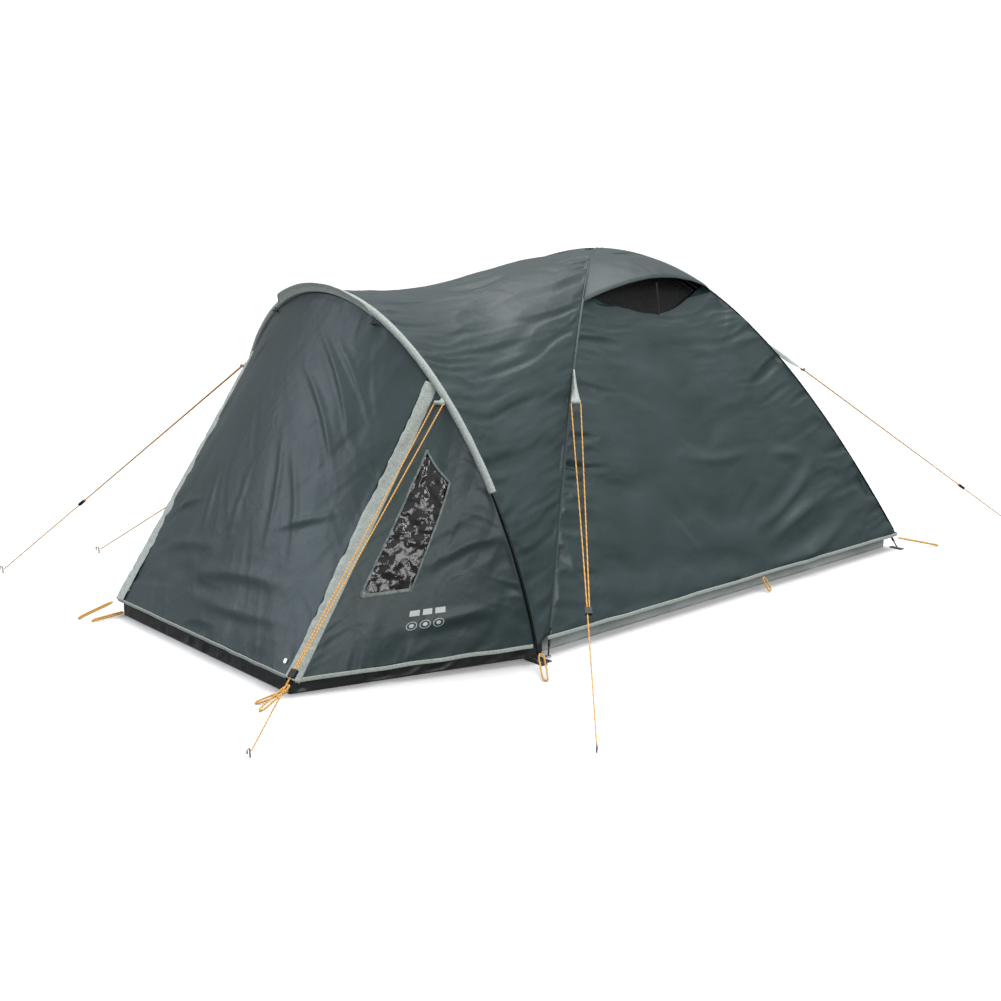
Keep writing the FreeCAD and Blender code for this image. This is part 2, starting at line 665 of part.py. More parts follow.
# ---- Guylines -----------------------------------------------------------------------
class Guyline:
    """One guyline: where its tab sits, which way it pulls, and where its peg stands."""

    def __init__(self, name, seam, tab_length, peg, runner_share=RUNNER_SHARE):
        self.name = name
        self.seam = seam
        self.peg = peg
        self.way = unit(peg - seam)
        self.tab_end = seam + self.way * tab_length
        self.side = unit(self.way.cross(Z_AXIS))
        self.face = self.side.cross(self.way)
        self.turn = self.tab_end + self.way * (CORD_RADIUS + 0.9)
        self.length = (peg - self.turn).Length
        self.runner = self.turn + self.way * self.length * runner_share

    def tab(self):
        """Pale triangular tab, with a hemmed tunnel along its foot for the cord."""
        top = self.seam + self.way * 14
        low = self.tab_end - self.way * 2.9
        corners = [top - self.side * 3, top + self.side * 3]
        corners += [low + self.side * TAB_HALF, low - self.side * TAB_HALF]
        sheet = prism([corner - self.face * 0.8 for corner in corners], self.face * 1.6)
        half = self.side * (TAB_HALF - 6)
        tunnel = straight_tube(self.turn - half, self.turn + half, 5.8, 2.3)
        return sheet.fuse(tunnel)

    def cord_edges(self):
        """From the knot in the runner, up, through the tab's tunnel, down and on to the peg."""
        knot = self.runner - self.side * RUNNER_HALF + self.way * RUNNER_LENGTH * 0.3
        rise = self.turn - self.side * TAB_HALF
        fall = self.turn + self.side * TAB_HALF
        through = self.runner + self.side * (RUNNER_HALF - 1.0)
        points = [knot, rise, fall, through, self.peg - self.way * 4]
        radii = [CORD_TURN, CORD_TURN, 400.0]
        edges = []
        start = points[0]
        for before, corner, after, radius in zip(points, points[1:], points[2:], radii):
            inward, outward = unit(corner - before), unit(after - corner)
            half_turn = inward.getAngle(outward) / 2
            reach = radius * math.tan(half_turn)
            arc_start, arc_end = corner - inward * reach, corner + outward * reach
            to_centre = unit(outward - inward)
            middle = corner + to_centre * (radius / math.cos(half_turn) - radius)
            edges.append(Part.LineSegment(start, arc_start).toShape())
            edges.append(arc_through(arc_start, middle, arc_end).toShape())
            start = arc_end
        edges.append(Part.LineSegment(start, points[-1]).toShape())
        return edges

    def slider(self):
        """Dark plastic runner with one slot for both legs of the cord."""
        half = self.way * (RUNNER_LENGTH / 2)
        body = bar(self.runner - half, self.runner + half, self.side, self.face, 10.5, -5.0, 5.0)
        slot = bar(self.runner - half * 2, self.runner + half * 2, self.side, self.face, 7.6, -2.6, 2.6)
        return body.cut(slot)

    def peg_head(self):
        """Hooked top of a steel peg, as far as it stands out of the ground."""
        flat = unit(Vector(self.way.x, self.way.y, 0))
        foot = Vector(self.peg.x, self.peg.y, 0) + flat * 3.2
        top = foot + Z_AXIS * 20
        radius = 5.5
        end = top + flat * 2 * radius
        hook = arc_through(top, top + flat * radius + Z_AXIS * radius, end)
        shank = straight_tube(foot, top, 2.2)
        down = straight_tube(end, end - Z_AXIS * 7, 2.2)
        return shank.multiFuse([arc_tube(hook, 2.2), down])


def guylines():
    """The six guylines, front to back."""
    def seam(side_x, side_y):
        point = dome_point(TAB_U, 1)
        return Vector(side_x * point.x, DOME_CENTRE_Y + side_y * DOME_HALF_LENGTH * TAB_U, point.z)

    hoop_right = hoop_point(42.6, -6.0, -8.0)
    hoop_left = mirrored_point(hoop_right)
    peg_z = 14.0
    return [
        Guyline("hoop_right", hoop_right, 26.0, Vector(817, -1699, peg_z), 0.80),
        Guyline("hoop_left", hoop_left, 26.0, Vector(-1285, -1464, peg_z)),
        Guyline("front_right", seam(1, -1), TAB_LENGTH, Vector(1395, -1006, peg_z)),
        Guyline("front_left", seam(-1, -1), TAB_LENGTH, Vector(-1309, -1060, peg_z)),
        Guyline("rear_right", seam(1, 1), TAB_LENGTH, Vector(1155, 1808, peg_z)),
        Guyline("rear_left", seam(-1, 1), TAB_LENGTH, Vector(-1155, 1808, peg_z)),
    ]


def build_guylines():
    tabs, pegs = [], []
    for line in guylines():
        edges = line.cord_edges()
        tube = path_tube(edges, CORD_RADIUS)
        length = sum(edge.Length for edge in edges)
        radii = [round(edge.Curve.Radius, 1) for edge in edges if edge.Curve.TypeId == "Part::GeomCircle"]
        share = tube.Volume / (math.pi * CORD_RADIUS ** 2 * length)
        print(line.name, "length", round(length), "volume share", round(share, 4), "radii", radii)
        export("guyline_" + line.name, tube)
        export("runner_" + line.name, line.slider())
        tabs.append(line.tab())
        pegs.append(line.peg_head())
    export("guy_tabs", tabs)
    export("guy_pegs", pegs)


def elastic_loop(start, end, radius=8.0):
    """Closed loop of elastic cord, stretched from the hem to the ground."""
    way = unit(end - start)
    side = unit(way.cross(Z_AXIS)) * radius
    a, b = start + way * radius, end - way * radius
    legs = [straight_tube(a + side, b + side, LOOP_RADIUS), straight_tube(a - side, b - side, LOOP_RADIUS)]
    far = arc_tube(arc_through(b + side, b + way * radius, b - side), LOOP_RADIUS)
    near = arc_tube(arc_through(a - side, a - way * radius, a + side), LOOP_RADIUS)
    return legs[0].multiFuse([far, legs[1], near])


def build_peg_loops():
    """Elastic loops at the hem corners, the hoop's feet and along the sides."""
    hem_x = DOME_HALF_WIDTH * hem_u(HEM_HEIGHT) + 6
    hem_y = DOME_CENTRE_Y + DOME_HALF_LENGTH * hem_u(HEM_HEIGHT) + 6
    ends = [
        (Vector(540, -1394, 44), Vector(566, -1511, 4)),
        (Vector(503, -1376, 12), Vector(508, -1489, 4)),
        (Vector(822, -664, 42), Vector(930, -744, 4)),
        (Vector(hem_x + 2, 499, 50), Vector(hem_x + 34, 499, 5)),
        (Vector(hem_x, hem_y, 44), Vector(862, 1530, 4)),
    ]
    loops = [elastic_loop(start, end) for start, end in ends]
    export("peg_loops", both_sides(loops))


# ---- Inner tent and groundsheets ----------------------------------------------------
def tray(corners, wall, thickness, open_edges=()):
    """Flat groundsheet with upturned edges."""
    floor = prism(corners, Z_AXIS * thickness)
    middle = sum(corners[1:], corners[0]) * (1 / len(corners))
    pieces = []
    for index, (a, b) in enumerate(zip(corners, corners[1:] + corners[:1])):
        if index in open_edges:
            continue
        inward = unit(Z_AXIS.cross(b - a))
        inward = inward if inward.dot(middle - a) > 0 else inward * -1
        pieces.append(prism([a, b, b + inward * thickness, a + inward * thickness], Z_AXIS * wall))
    return floor.multiFuse(pieces).removeSplitter()


def build_groundsheets():
    rear = [Vector(-TRAY_HALF_WIDTH, TRAY_FRONT_Y, 0), Vector(TRAY_HALF_WIDTH, TRAY_FRONT_Y, 0)]
    rear += [Vector(TRAY_HALF_WIDTH, TRAY_REAR_Y, 0), Vector(-TRAY_HALF_WIDTH, TRAY_REAR_Y, 0)]
    export("inner_groundsheet", tray(rear, TRAY_WALL, INNER_CLOTH))
    back_y = TRAY_FRONT_Y - 3
    porch = [Vector(-506, -1371, 0), Vector(506, -1371, 0), Vector(738, -640, 0), Vector(738, back_y, 0)]
    porch += [Vector(-738, back_y, 0), Vector(-738, -640, 0)]
    export("porch_groundsheet", tray(porch, PORCH_WALL, INNER_CLOTH, open_edges=(3,)))


def inner_door_block(margin):
    """Block over the doorway in the front of the inner tent."""
    half = INNER_DOOR_HALF - margin
    low, high = INNER_DOOR_FOOT + margin, INNER_DOOR_HEAD - margin
    corners = [Vector(-half, -1000, low), Vector(half, -1000, low)]
    corners += [Vector(half, -1000, high), Vector(-half, -1000, high)]
    return prism(corners, Y_AXIS * 1300)


def inner_front_point(height):
    """Point on the inner tent's front wall at x = 0, with the way that faces outward."""
    u = hem_u(height, INNER_INSET)
    slope = -DOME_HEIGHT * (math.pi / 4 * math.sin(math.pi * u / 2) + u)
    reach = DOME_HALF_LENGTH * u * (1 - INNER_INSET)
    out = unit(Vector(0, slope, DOME_HALF_LENGTH))
    return Vector(0, DOME_CENTRE_Y - reach, height), out


def inner_door_hinge():
    """Line outside the doorway's left edge that its door turns about: a point and a direction."""
    low, low_out = inner_front_point(INNER_DOOR_FOOT)
    high, high_out = inner_front_point(INNER_DOOR_HEAD)
    way = unit(low - high)
    out = X_AXIS.cross(way) * -1
    bulge = 0.0
    for step in range(1, 20):
        point = inner_front_point(mix(INNER_DOOR_FOOT, INNER_DOOR_HEAD, step / 20.0))[0]
        bulge = max(bulge, (point - low).dot(out))
    return low + out * (bulge + 4.0) - X_AXIS * INNER_DOOR_HALF, way


def build_inner_tent():
    foot_u = hem_u(TRAY_WALL + 3, INNER_INSET)
    side = side_sheet(INNER_INSET, -INNER_CLOTH, 0, 0.005, foot_u, 10, 2.0)
    export("inner_side_walls", both_sides([side]))
    export("inner_rear_wall", end_sheet(INNER_INSET, -INNER_CLOTH, 0, 0.005, foot_u, 10, 2.0, 1))
    front = end_sheet(INNER_INSET, -INNER_CLOTH, 0, 0.005, foot_u, 10, 2.0, -1)
    export("inner_front_wall", front.cut(inner_door_block(0)))
    export("inner_door", front.common(inner_door_block(INNER_DOOR_GAP)))
    height = INNER_DOOR_FOOT - 14
    here, out = inner_front_point(height)
    up = out.cross(X_AXIS)
    half = X_AXIS * (INNER_DOOR_HALF - 20)
    tape = bar(here - half, here + half, up, out, 9.0, 2.2, 2.8)
    chain = bar(here - half, here + half, up, out, 2.5, 2.8, 5.0)
    export("inner_zip", tape.fuse(chain).removeSplitter())
    start = here + half - X_AXIS * 24
    end = start + X_AXIS * 16
    plate = bar(start, end, up, out, 5.4, 5.5, 6.7)
    cheeks = [bar(start + up * side, end + up * side, up, out, 0.9, 3.3, 5.5) for side in (-4.0, 4.0)]
    tab = bar(start + X_AXIS * 6 - up * 16, start + X_AXIS * 6, X_AXIS, out, 2.2, 7.2, 8.4)
    stud = bar(start + X_AXIS * 4, start + X_AXIS * 8, up, out, 1.2, 6.7, 7.2)
    export("inner_zip_slider", plate.multiFuse(cheeks + [stud, tab]).removeSplitter())


os.makedirs("parts", exist_ok=True)
feet = build_poles()
build_corners(feet)
build_clips()
build_dome_sheets()
build_vents()
build_tunnel()
build_porch_sides()
build_door()
build_zips()
build_hoop_sleeve()
build_hems()
build_guylines()
build_peg_loops()
build_groundsheets()
build_inner_tent()
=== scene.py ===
"""Looks for a two-person dome tent with a hooped porch, pitched and guyed out.

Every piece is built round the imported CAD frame, in metres, with +Z up, the porch facing
-Y and the ground at z = 0.  Cloth is laid out as grids over the poles, creased by layers
of folds worked out in flat cloth coordinates, and sewn up with tapes along its edges.
"""
from __future__ import annotations

import json
import logging
import math
from dataclasses import dataclass, field
from enum import Enum
from typing import Sequence

import bpy
import numpy as np
from mathutils import Matrix, Vector

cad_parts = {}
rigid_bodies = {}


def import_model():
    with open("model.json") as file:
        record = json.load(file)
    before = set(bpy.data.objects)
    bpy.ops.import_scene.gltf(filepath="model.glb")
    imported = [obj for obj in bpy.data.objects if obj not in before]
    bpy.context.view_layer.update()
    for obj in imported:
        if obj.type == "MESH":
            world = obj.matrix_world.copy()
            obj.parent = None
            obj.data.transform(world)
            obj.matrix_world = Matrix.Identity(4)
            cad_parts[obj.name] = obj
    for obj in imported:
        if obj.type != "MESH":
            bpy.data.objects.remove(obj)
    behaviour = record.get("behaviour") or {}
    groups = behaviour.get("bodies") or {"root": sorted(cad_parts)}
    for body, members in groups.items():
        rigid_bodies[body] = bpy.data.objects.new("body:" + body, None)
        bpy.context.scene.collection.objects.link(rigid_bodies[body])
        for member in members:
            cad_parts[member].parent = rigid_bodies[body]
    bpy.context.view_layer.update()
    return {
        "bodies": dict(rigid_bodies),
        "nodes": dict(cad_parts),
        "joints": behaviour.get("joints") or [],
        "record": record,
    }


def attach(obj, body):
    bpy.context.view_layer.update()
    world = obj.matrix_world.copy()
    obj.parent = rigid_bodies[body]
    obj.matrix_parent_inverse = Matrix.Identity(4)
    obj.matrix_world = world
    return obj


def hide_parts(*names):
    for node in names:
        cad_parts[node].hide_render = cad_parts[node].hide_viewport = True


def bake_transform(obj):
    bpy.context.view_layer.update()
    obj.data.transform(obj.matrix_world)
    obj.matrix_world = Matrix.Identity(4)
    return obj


LOG = logging.getLogger("tent")
Array = np.ndarray
Point = tuple[float, float, float]
SHELL = "shell"
GLOSS_PATCH_MM = 1000.0 / 9.0
RIDGE_MM = 1000.0 / 70.0
DOME_POLES = ("dome_pole_a", "dome_pole_b")
TRIM_THICKNESS = 0.0009
FILM_THICKNESS = 0.0004
UP = np.array([0.0, 0.0, 1.0])


class Edge(Enum):
    """The four edges of a cut of cloth, by its grid."""

    LEFT = "left"
    RIGHT = "right"
    FOOT = "foot"
    HEAD = "head"


class Hand(Enum):
    """Which side of the tent a piece is on."""

    RIGHT = 1
    LEFT = -1

    @property
    def word(self) -> str:
        """The side's name as pieces and nodes write it."""
        return self.name.lower()


# ---- Arithmetic on points -----------------------------------------------------------
def place(x: Array | float, y: Array | float, z: Array | float) -> Array:
    """Puts coordinates together as points.

    Args:
        x: Distances along X.
        y: Distances along Y.
        z: Heights.

    Returns:
        Points, with the coordinate last.
    """
    return np.stack(np.broadcast_arrays(x, y, z), axis=-1).astype(float)


def unit(vectors: Array) -> Array:
    """Scales vectors to length one; a vector without length stays as it is."""
    length = np.linalg.norm(vectors, axis=-1, keepdims=True)
    return vectors / np.maximum(length, 1e-12)


def mix(a: Array, b: Array, share: Array | float) -> Array:
    """Goes from a to b by a share, which may be an array over the points."""
    weight = np.asarray(share)[..., None]
    return a * (1 - weight) + b * weight


def ease(values: Array) -> Array:
    """Smooth step from 0 to 1, flat at both ends."""
    held = np.clip(values, 0.0, 1.0)
    return held * held * (3 - 2 * held)


def mirrored(points: Array) -> Array:
    """The same points on the other side of the tent."""
    return points * np.array([-1.0, 1.0, 1.0])


def handed(points: Array, hand: Hand) -> Array:
    """Points of a right-hand piece, moved to the hand asked for."""
    return points if hand is Hand.RIGHT else mirrored(points)


def soft_noise(x: Array, y: Array, seed: int) -> Array:
    """Smooth random field over a plane.

    Args:
        x: First coordinate, one unit for each bump.
        y: Second coordinate.
        seed: Picks the field.

    Returns:
        Values from -1 to 1.
    """
    size = 64
    table = np.random.default_rng(seed).uniform(-1.0, 1.0, (size, size))
    column, row = np.floor(x).astype(int), np.floor(y).astype(int)
    across, up = ease(x - column), ease(y - row)
    low = table[column % size, row % size] * (1 - across)
    low = low + table[(column + 1) % size, row % size] * across
    high = table[column % size, (row + 1) % size] * (1 - across)
    high = high + table[(column + 1) % size, (row + 1) % size] * across
    return low * (1 - up) + high * up


# ---- The tent's own shape -----------------------------------------------------------
@dataclass(frozen=True)
class TentShape:
    """Curves that the poles and the flysheet follow, in metres, as the CAD has them."""

    half_width: float = 0.788
    half_length: float = 1.0
    centre_y: float = 0.398
    height: float = 1.2
    hoop_half_width: float = 0.797
    hoop_height: float = 1.114
    hoop_foot_y: float = -0.645
    hoop_lean: float = 0.194
    hem_height: float = 0.059
    door_half_foot: float = 0.516
    door_half_head: float = 0.484
    door_foot_y: float = -1.385
    seam_offset: float = 0.010
    seam_shift: float = 0.0045
    tape_width: float = 0.025
    tunnel_turn: float = 0.968

    def arch(self, u: Array | float) -> Array | float:
        """Height of a dome pole as a share of the dome's, from 0 at the top to 1."""
        return 0.5 * np.cos(np.pi * np.asarray(u) / 2) + 0.5 * (1 - np.asarray(u) ** 2)

    def hem_share(self, height: float, inset: float = 0.0) -> float:
        """How far down the dome's outline a height is, from 0 to 1."""
        low, high = 0.0, 1.0
        for _ in range(40):
            middle = (low + high) / 2
            above = self.height * self.arch(middle) * (1 - inset) > height
            low, high = (middle, high) if above else (low, middle)
        return low

    def side_point(self, across: Array, down: Array, inset: float = 0.0) -> Array:
        """Point on the right side panel, across between its seams and down from the top."""
        size = 1 - inset
        reach = self.half_length * across * down * size
        rise = self.height * self.arch(down) * size
        return place(self.half_width * down * size, self.centre_y + reach, rise)

    def end_point(self, across: Array, down: Array, side: int, inset: float = 0.0) -> Array:
        """Point on the dome's rear (side 1) or front (side -1) face."""
        size = 1 - inset
        reach = side * self.half_length * down * size
        rise = self.height * self.arch(down) * size
        return place(self.half_width * across * down * size, self.centre_y + reach, rise)

    def hoop_point(self, degrees: Array | float, inset: float = 0.0, shift: float = 0.0) -> Array:
        """Point on the porch hoop, by its angle from the top."""
        turn = np.radians(degrees)
        rise = (self.hoop_height - inset) * np.cos(turn)
        reach = (self.hoop_half_width - inset) * np.sin(turn)
        return place(reach, self.hoop_foot_y - self.hoop_lean * rise + shift, rise)

    def tunnel_point(self, share: Array, turn: Array) -> Array:
        """Roof between the front dome seams (share 0) and the hoop (share 1)."""
        down = np.abs(turn)
        rise = self.height * self.arch(down)
        dome = place(self.half_width * turn, self.centre_y - self.half_length * down - 0.003, rise)
        hoop = self.hoop_point(90 * turn, -0.0055, 0.000)
        neck = 1 - 0.048 * np.sin(np.pi * share ** 1.6) * (1 - down ** 4)
        return mix(dome, hoop, share) * place(neck, 1.0, neck)

    def door_head(self, share: Array | float) -> Array:
        """Where the door cloth meets the hoop, from -1 to 1 across it."""
        reach = self.door_half_head * np.asarray(share)
        angle = np.degrees(np.arcsin(reach / (self.hoop_half_width - self.seam_offset)))
        return self.hoop_point(angle, self.seam_offset, -self.seam_shift)

    def door_foot(self, share: Array | float) -> Array:
        """The door's lower edge, from -1 to 1 across it."""
        return place(self.door_half_foot * np.asarray(share), self.door_foot_y, self.hem_height)

    def door_side_point(self, up: Array, share: Array) -> Array:
        """Right side of the porch: up the door's edge, out from it (0) to the hoop (1)."""
        offset = self.door_edge().side * (self.tape_width + 0.0005)
        edge = mix(self.door_foot(1.0), self.door_head(1.0), up) + offset
        rim = self.hoop_half_width - self.seam_offset
        foot_angle = math.degrees(math.acos(self.hem_height / (self.hoop_height - self.seam_offset)))
        head_angle = math.degrees(math.asin(self.door_half_head / rim)) + 3.0
        angle = foot_angle + (head_angle - foot_angle) * np.asarray(up)
        return mix(edge, self.hoop_point(angle, 0.0045, -self.seam_shift), share)

    def door_edge(self) -> DoorEdge:
        """The door's right-hand edge with its own directions."""
        foot, head = self.door_foot(1.0), self.door_head(1.0)
        way = unit(head - foot)
        out = self.hoop_point(72.0, self.seam_offset, -self.seam_shift) - (foot + head) / 2
        side = unit(out - way * out.dot(way))
        return DoorEdge(foot, way, side, np.cross(side, way), float(np.linalg.norm(head - foot)))


@dataclass(frozen=True)
class DoorEdge:
    """Straight edge of the door: its foot, and the ways up, out to the side and off its face."""

    foot: Array
    way: Array
    side: Array
    face: Array
    length: float

    def point(self, up: Array, aside: Array, off: Array) -> Array:
        """Point at distances up the edge, to its side and off its face."""
        steps = np.stack(np.broadcast_arrays(up, aside, off), axis=-1)
        return self.foot + steps @ np.stack([self.way, self.side, self.face])


TENT = TentShape()
DOME_INSIDE: Point = (0.0, TENT.centre_y, 0.3)


# ---- Cloth: flat cuts, and the folds in them ----------------------------------------
@dataclass(frozen=True)
class FlatPlace:
    """Where each grid point lies on the flat cut, in metres."""

    across: Array
    along: Array
    edges: dict[Edge, Array]


@dataclass(frozen=True)
class Fold:
    """One soft crease from start to end, with the shallow hollow that runs beside it."""

    start: tuple[float, float]
    end: tuple[float, float]
    width: float = 0.016
    height: float = 0.008
    bow: float = 0.0

    def heights(self, flat: FlatPlace) -> Array:
        """How far this fold lifts each point of the cloth."""
        way = np.array(self.end) - np.array(self.start)
        length = float(np.hypot(*way))
        x, y = flat.across - self.start[0], flat.along - self.start[1]
        share = (x * way[0] + y * way[1]) / length ** 2
        inside = np.clip(share, 0.0, 1.0)
        gap = (x * way[1] - y * way[0]) / length + self.bow * np.sin(np.pi * inside)
        beyond = np.abs(share - inside) * length
        taper = np.sin(np.pi * np.clip(inside, 0.04, 0.96)) ** 0.7 * np.exp(-((beyond / 0.02) ** 2))
        ridge = np.exp(-((gap / self.width) ** 2))
        hollow = np.exp(-(((gap - 1.9 * self.width) / (1.5 * self.width)) ** 2))
        return self.height * taper * (ridge - 0.55 * hollow)


@dataclass(frozen=True)
class Ripple:
    """A field of long folds that all run about one way, over the cloth or near one edge."""

    heading: float
    spacing: float
    stretch: float
    height: float
    seed: int
    crisp: float = 0.5
    edge: Edge | None = None
    reach: float = 0.08
    offset: float = 0.0

    def heights(self, flat: FlatPlace) -> Array:
        """How far these folds lift each point of the cloth."""
        turn = math.radians(self.heading)
        run = flat.across * math.cos(turn) + flat.along * math.sin(turn)
        side = flat.along * math.cos(turn) - flat.across * math.sin(turn)
        side = side + 0.5 * self.spacing * soft_noise(run / 0.16, side / 0.16, self.seed + 1)
        lie = soft_noise(side / self.spacing, run / (self.spacing * self.stretch), self.seed)
        folds = (1 - self.crisp) * lie + self.crisp * (0.7 - 2.0 * np.abs(lie) ** 0.8)
        if self.edge is None:
            return self.height * folds
        gap = flat.edges[self.edge] - self.offset
        patchy = 0.6 + 0.4 * soft_noise(side / 0.18, run / 0.3, self.seed + 2)
        return self.height * folds * patchy * np.exp(-((np.maximum(gap, 0) / self.reach) ** 1.5))


Layer = Fold | Ripple


def chord_lengths(points: Array, axis: int) -> Array:
    """Running length of a grid's lines along one of its axes."""
    gaps = np.linalg.norm(np.diff(points, axis=axis), axis=-1)
    pad = [(1, 0), (0, 0)] if axis == 0 else [(0, 0), (1, 0)]
    return np.pad(np.cumsum(gaps, axis=axis), pad)


def grid_normals(points: Array, inside: Array) -> Array:
    """Outward directions of a grid of points.

    Args:
        points: The grid.
        inside: A point on the cloth's inner side.

    Returns:
        Unit vectors, facing away from the inner side at the grid's middle.
    """
    normals = unit(np.cross(np.gradient(points, axis=0), np.gradient(points, axis=1)))
    middle = (points.shape[0] // 2, points.shape[1] // 2)
    outward = float(np.dot(normals[middle], points[middle] - inside))
    return normals if outward > 0 else -normals


@dataclass
class Cloth:
    """One cut of cloth: a grid of points as it hangs without creases, and its layers."""

    name: str
    points: Array
    inside: Point
    layers: Sequence[Layer] = ()
    pinned: Sequence[Edge] = tuple(Edge)
    pin_width: float = 0.02
    keep: Array | None = None
    lift: Array | float = 0.0
    even: bool = False

    def flat_place(self) -> FlatPlace:
        """Where each point lies on the flat cut."""
        across, along = chord_lengths(self.points, 0), chord_lengths(self.points, 1)
        centred = across - across[-1:, :] / 2
        edges = {Edge.LEFT: across, Edge.RIGHT: across[-1:, :] - across}
        edges.update({Edge.FOOT: along, Edge.HEAD: along[:, -1:] - along})
        if self.even:
            # Lines across the cut keep level where its long edges have different lengths.
            along = along / along[:, -1:] * along[:, -1:].mean()
        return FlatPlace(centred, along, edges)

    def creased(self) -> Array:
        """The grid with its folds, held flat where it is sewn."""
        flat = self.flat_place()
        heights = np.zeros(self.points.shape[:2])
        for layer in self.layers:
            heights = heights + layer.heights(flat)
        for edge in self.pinned:
            heights = heights * ease(flat.edges[edge] / self.pin_width)
        normals = grid_normals(self.points, np.array(self.inside))
        return self.points + normals * (heights + self.lift)[..., None]

    def build(self, thickness: float = 0.0008) -> bpy.types.Object:
        """Makes the sheet.

        Args:
            thickness: The cloth's thickness in metres.

        Returns:
            The mesh object, smooth, with the flat coordinates kept for its weave.
        """
        grid = self.creased()
        outward = grid_normals(self.points, np.array(self.inside))
        made = unit(np.cross(np.gradient(self.points, axis=0), np.gradient(self.points, axis=1)))
        middle = (grid.shape[0] // 2, grid.shape[1] // 2)
        flip = float(np.dot(outward[middle], made[middle])) < 0
        flat = self.flat_place()
        item = grid_object(self.name, grid, (flat.across, flat.along), flip, self.keep)
        solid = item.modifiers.new("thickness", "SOLIDIFY")
        solid.thickness = thickness
        solid.offset = -1.0
        return item


def grid_object(name: str, grid: Array, flat: tuple[Array, Array], flip: bool = False,
                keep: Array | None = None, closed: bool = False) -> bpy.types.Object:
    """Turns a grid of points into a mesh object.

    Args:
        name: The piece's name.
        grid: Points, rows by columns.
        flat: Flat coordinates of each point, in metres, for the weave.
        flip: True to turn the faces over.
        keep: Which cells to keep, all if None.
        closed: True where the last column joins the first.

    Returns:
        The object, linked to the scene.
    """
    rows, columns = grid.shape[:2]
    index = np.arange(rows * columns).reshape(rows, columns)
    right = np.roll(index, -1, axis=1) if closed else index[:, 1:]
    left = index if closed else index[:, :-1]
    quads = np.stack([left[:-1], left[1:], right[1:], right[:-1]], axis=-1)
    chosen = quads.reshape(-1, 4) if keep is None else quads[keep.astype(bool)]
    if flip:
        chosen = chosen[:, ::-1]
    used, compact = np.unique(chosen, return_inverse=True)
    mesh = bpy.data.meshes.new(name)
    mesh.from_pydata(grid.reshape(-1, 3)[used].tolist(), [], compact.reshape(-1, 4).tolist())
    lie = mesh.attributes.new("flat_place", "FLOAT_VECTOR", "POINT")
    across, along = (np.broadcast_to(values, (rows, columns)).reshape(-1)[used] for values in flat)
    lie.data.foreach_set("vector", place(across, along, 0.0).astype(np.float32).ravel())
    mesh.shade_smooth()
    item = bpy.data.objects.new(name, mesh)
    bpy.context.scene.collection.objects.link(item)
    return item


def joined(name: str, items: Sequence[bpy.types.Object]) -> bpy.types.Object:
    """Joins several meshes that are one sewn piece."""
    with bpy.context.temp_override(active_object=items[0], selected_editable_objects=list(items)):
        bpy.ops.object.join()
    items[0].name = name
    return items[0]


# ---- Tapes, tubes and cords ---------------------------------------------------------
def rounded_section(wide: float, high: float, count: int = 14, square: float = 1.0) -> Array:
    """Outline of a tube or a folded tape.

    Args:
        wide: Half of its width.
        high: Half of its height.
        count: Points round it.
        square: 1 for an ellipse, less for squarer corners.

    Returns:
        Points round the outline.
    """
    turn = np.linspace(0, 2 * np.pi, count, endpoint=False)
    x, y = np.cos(turn), np.sin(turn)
    return np.stack([wide * np.sign(x) * np.abs(x) ** square, high * np.sign(y) * np.abs(y) ** square], -1)


def swept(name: str, path: Array, section: Array, up: Array, sizes: Array | None = None) -> bpy.types.Object:
    """Carries an outline along a path.

    Args:
        name: The piece's name.
        path: Points along the middle.
        section: The outline, its first axis to the side and its second upward.
        up: Upward direction, one or one for each point.
        sizes: Scales of the outline along the path, for each of its axes.

    Returns:
        The closed mesh object.
    """
    tangent = unit(np.gradient(path, axis=0))
    side = unit(np.cross(tangent, np.broadcast_to(up, path.shape)))
    rise = np.cross(side, tangent)
    scale = np.ones((len(path), 2)) if sizes is None else sizes
    outline = section[None] * scale[:, None]
    rings = path[:, None] + side[:, None] * outline[..., :1] + rise[:, None] * outline[..., 1:]
    caps = [np.repeat(rings[index].mean(0)[None], rings.shape[1], 0)[None] for index in (0, -1)]
    rings = np.concatenate([caps[0], rings, caps[1]])
    along = np.pad(chord_lengths(path[:, None], 0)[:, 0], 1, mode="edge")
    round_it = np.linspace(0, float(np.ptp(section[:, 0])) * 2, rings.shape[1], endpoint=False)
    item = grid_object(name, rings, (round_it[None], along[:, None]), closed=True)
    weld = item.modifiers.new("weld", "WELD")
    weld.merge_threshold = 1e-5
    return item


def cord_curve(name: str, points: Array, radius: float, closed: bool = False) -> bpy.types.Object:
    """A round cord on one smooth spline through a route's points.

    Args:
        name: The piece's name.
        points: The route's control points.
        radius: Half of the cord's diameter.
        closed: True for an endless loop.

    Returns:
        The curve object.
    """
    curve = bpy.data.curves.new(name, "CURVE")
    curve.dimensions = "3D"
    spline = curve.splines.new("NURBS")
    spline.points.add(len(points) - 1)
    for knot, point in zip(spline.points, points):
        knot.co = (*point, 1.0)
    spline.order_u = 3
    spline.use_cyclic_u = closed
    spline.use_endpoint_u = not closed
    spline.resolution_u = 16
    curve.bevel_depth = radius
    curve.bevel_resolution = 3
    curve.use_fill_caps = True
    item = bpy.data.objects.new(name, curve)
    bpy.context.scene.collection.objects.link(item)
    return item


# ---- Finishes -----------------------------------------------------------------------
def linear(code: str) -> tuple[float, float, float, float]:
    """Turns an sRGB hex code into linear colour.

    Args:
        code: Six hex digits after a hash.

    Returns:
        Red, green, blue and alpha.
    """
    parts = [int(code[first:first + 2], 16) / 255 for first in (1, 3, 5)]
    made = [part / 12.92 if part <= 0.04045 else ((part + 0.055) / 1.055) ** 2.4 for part in parts]
    return made[0], made[1], made[2], 1.0


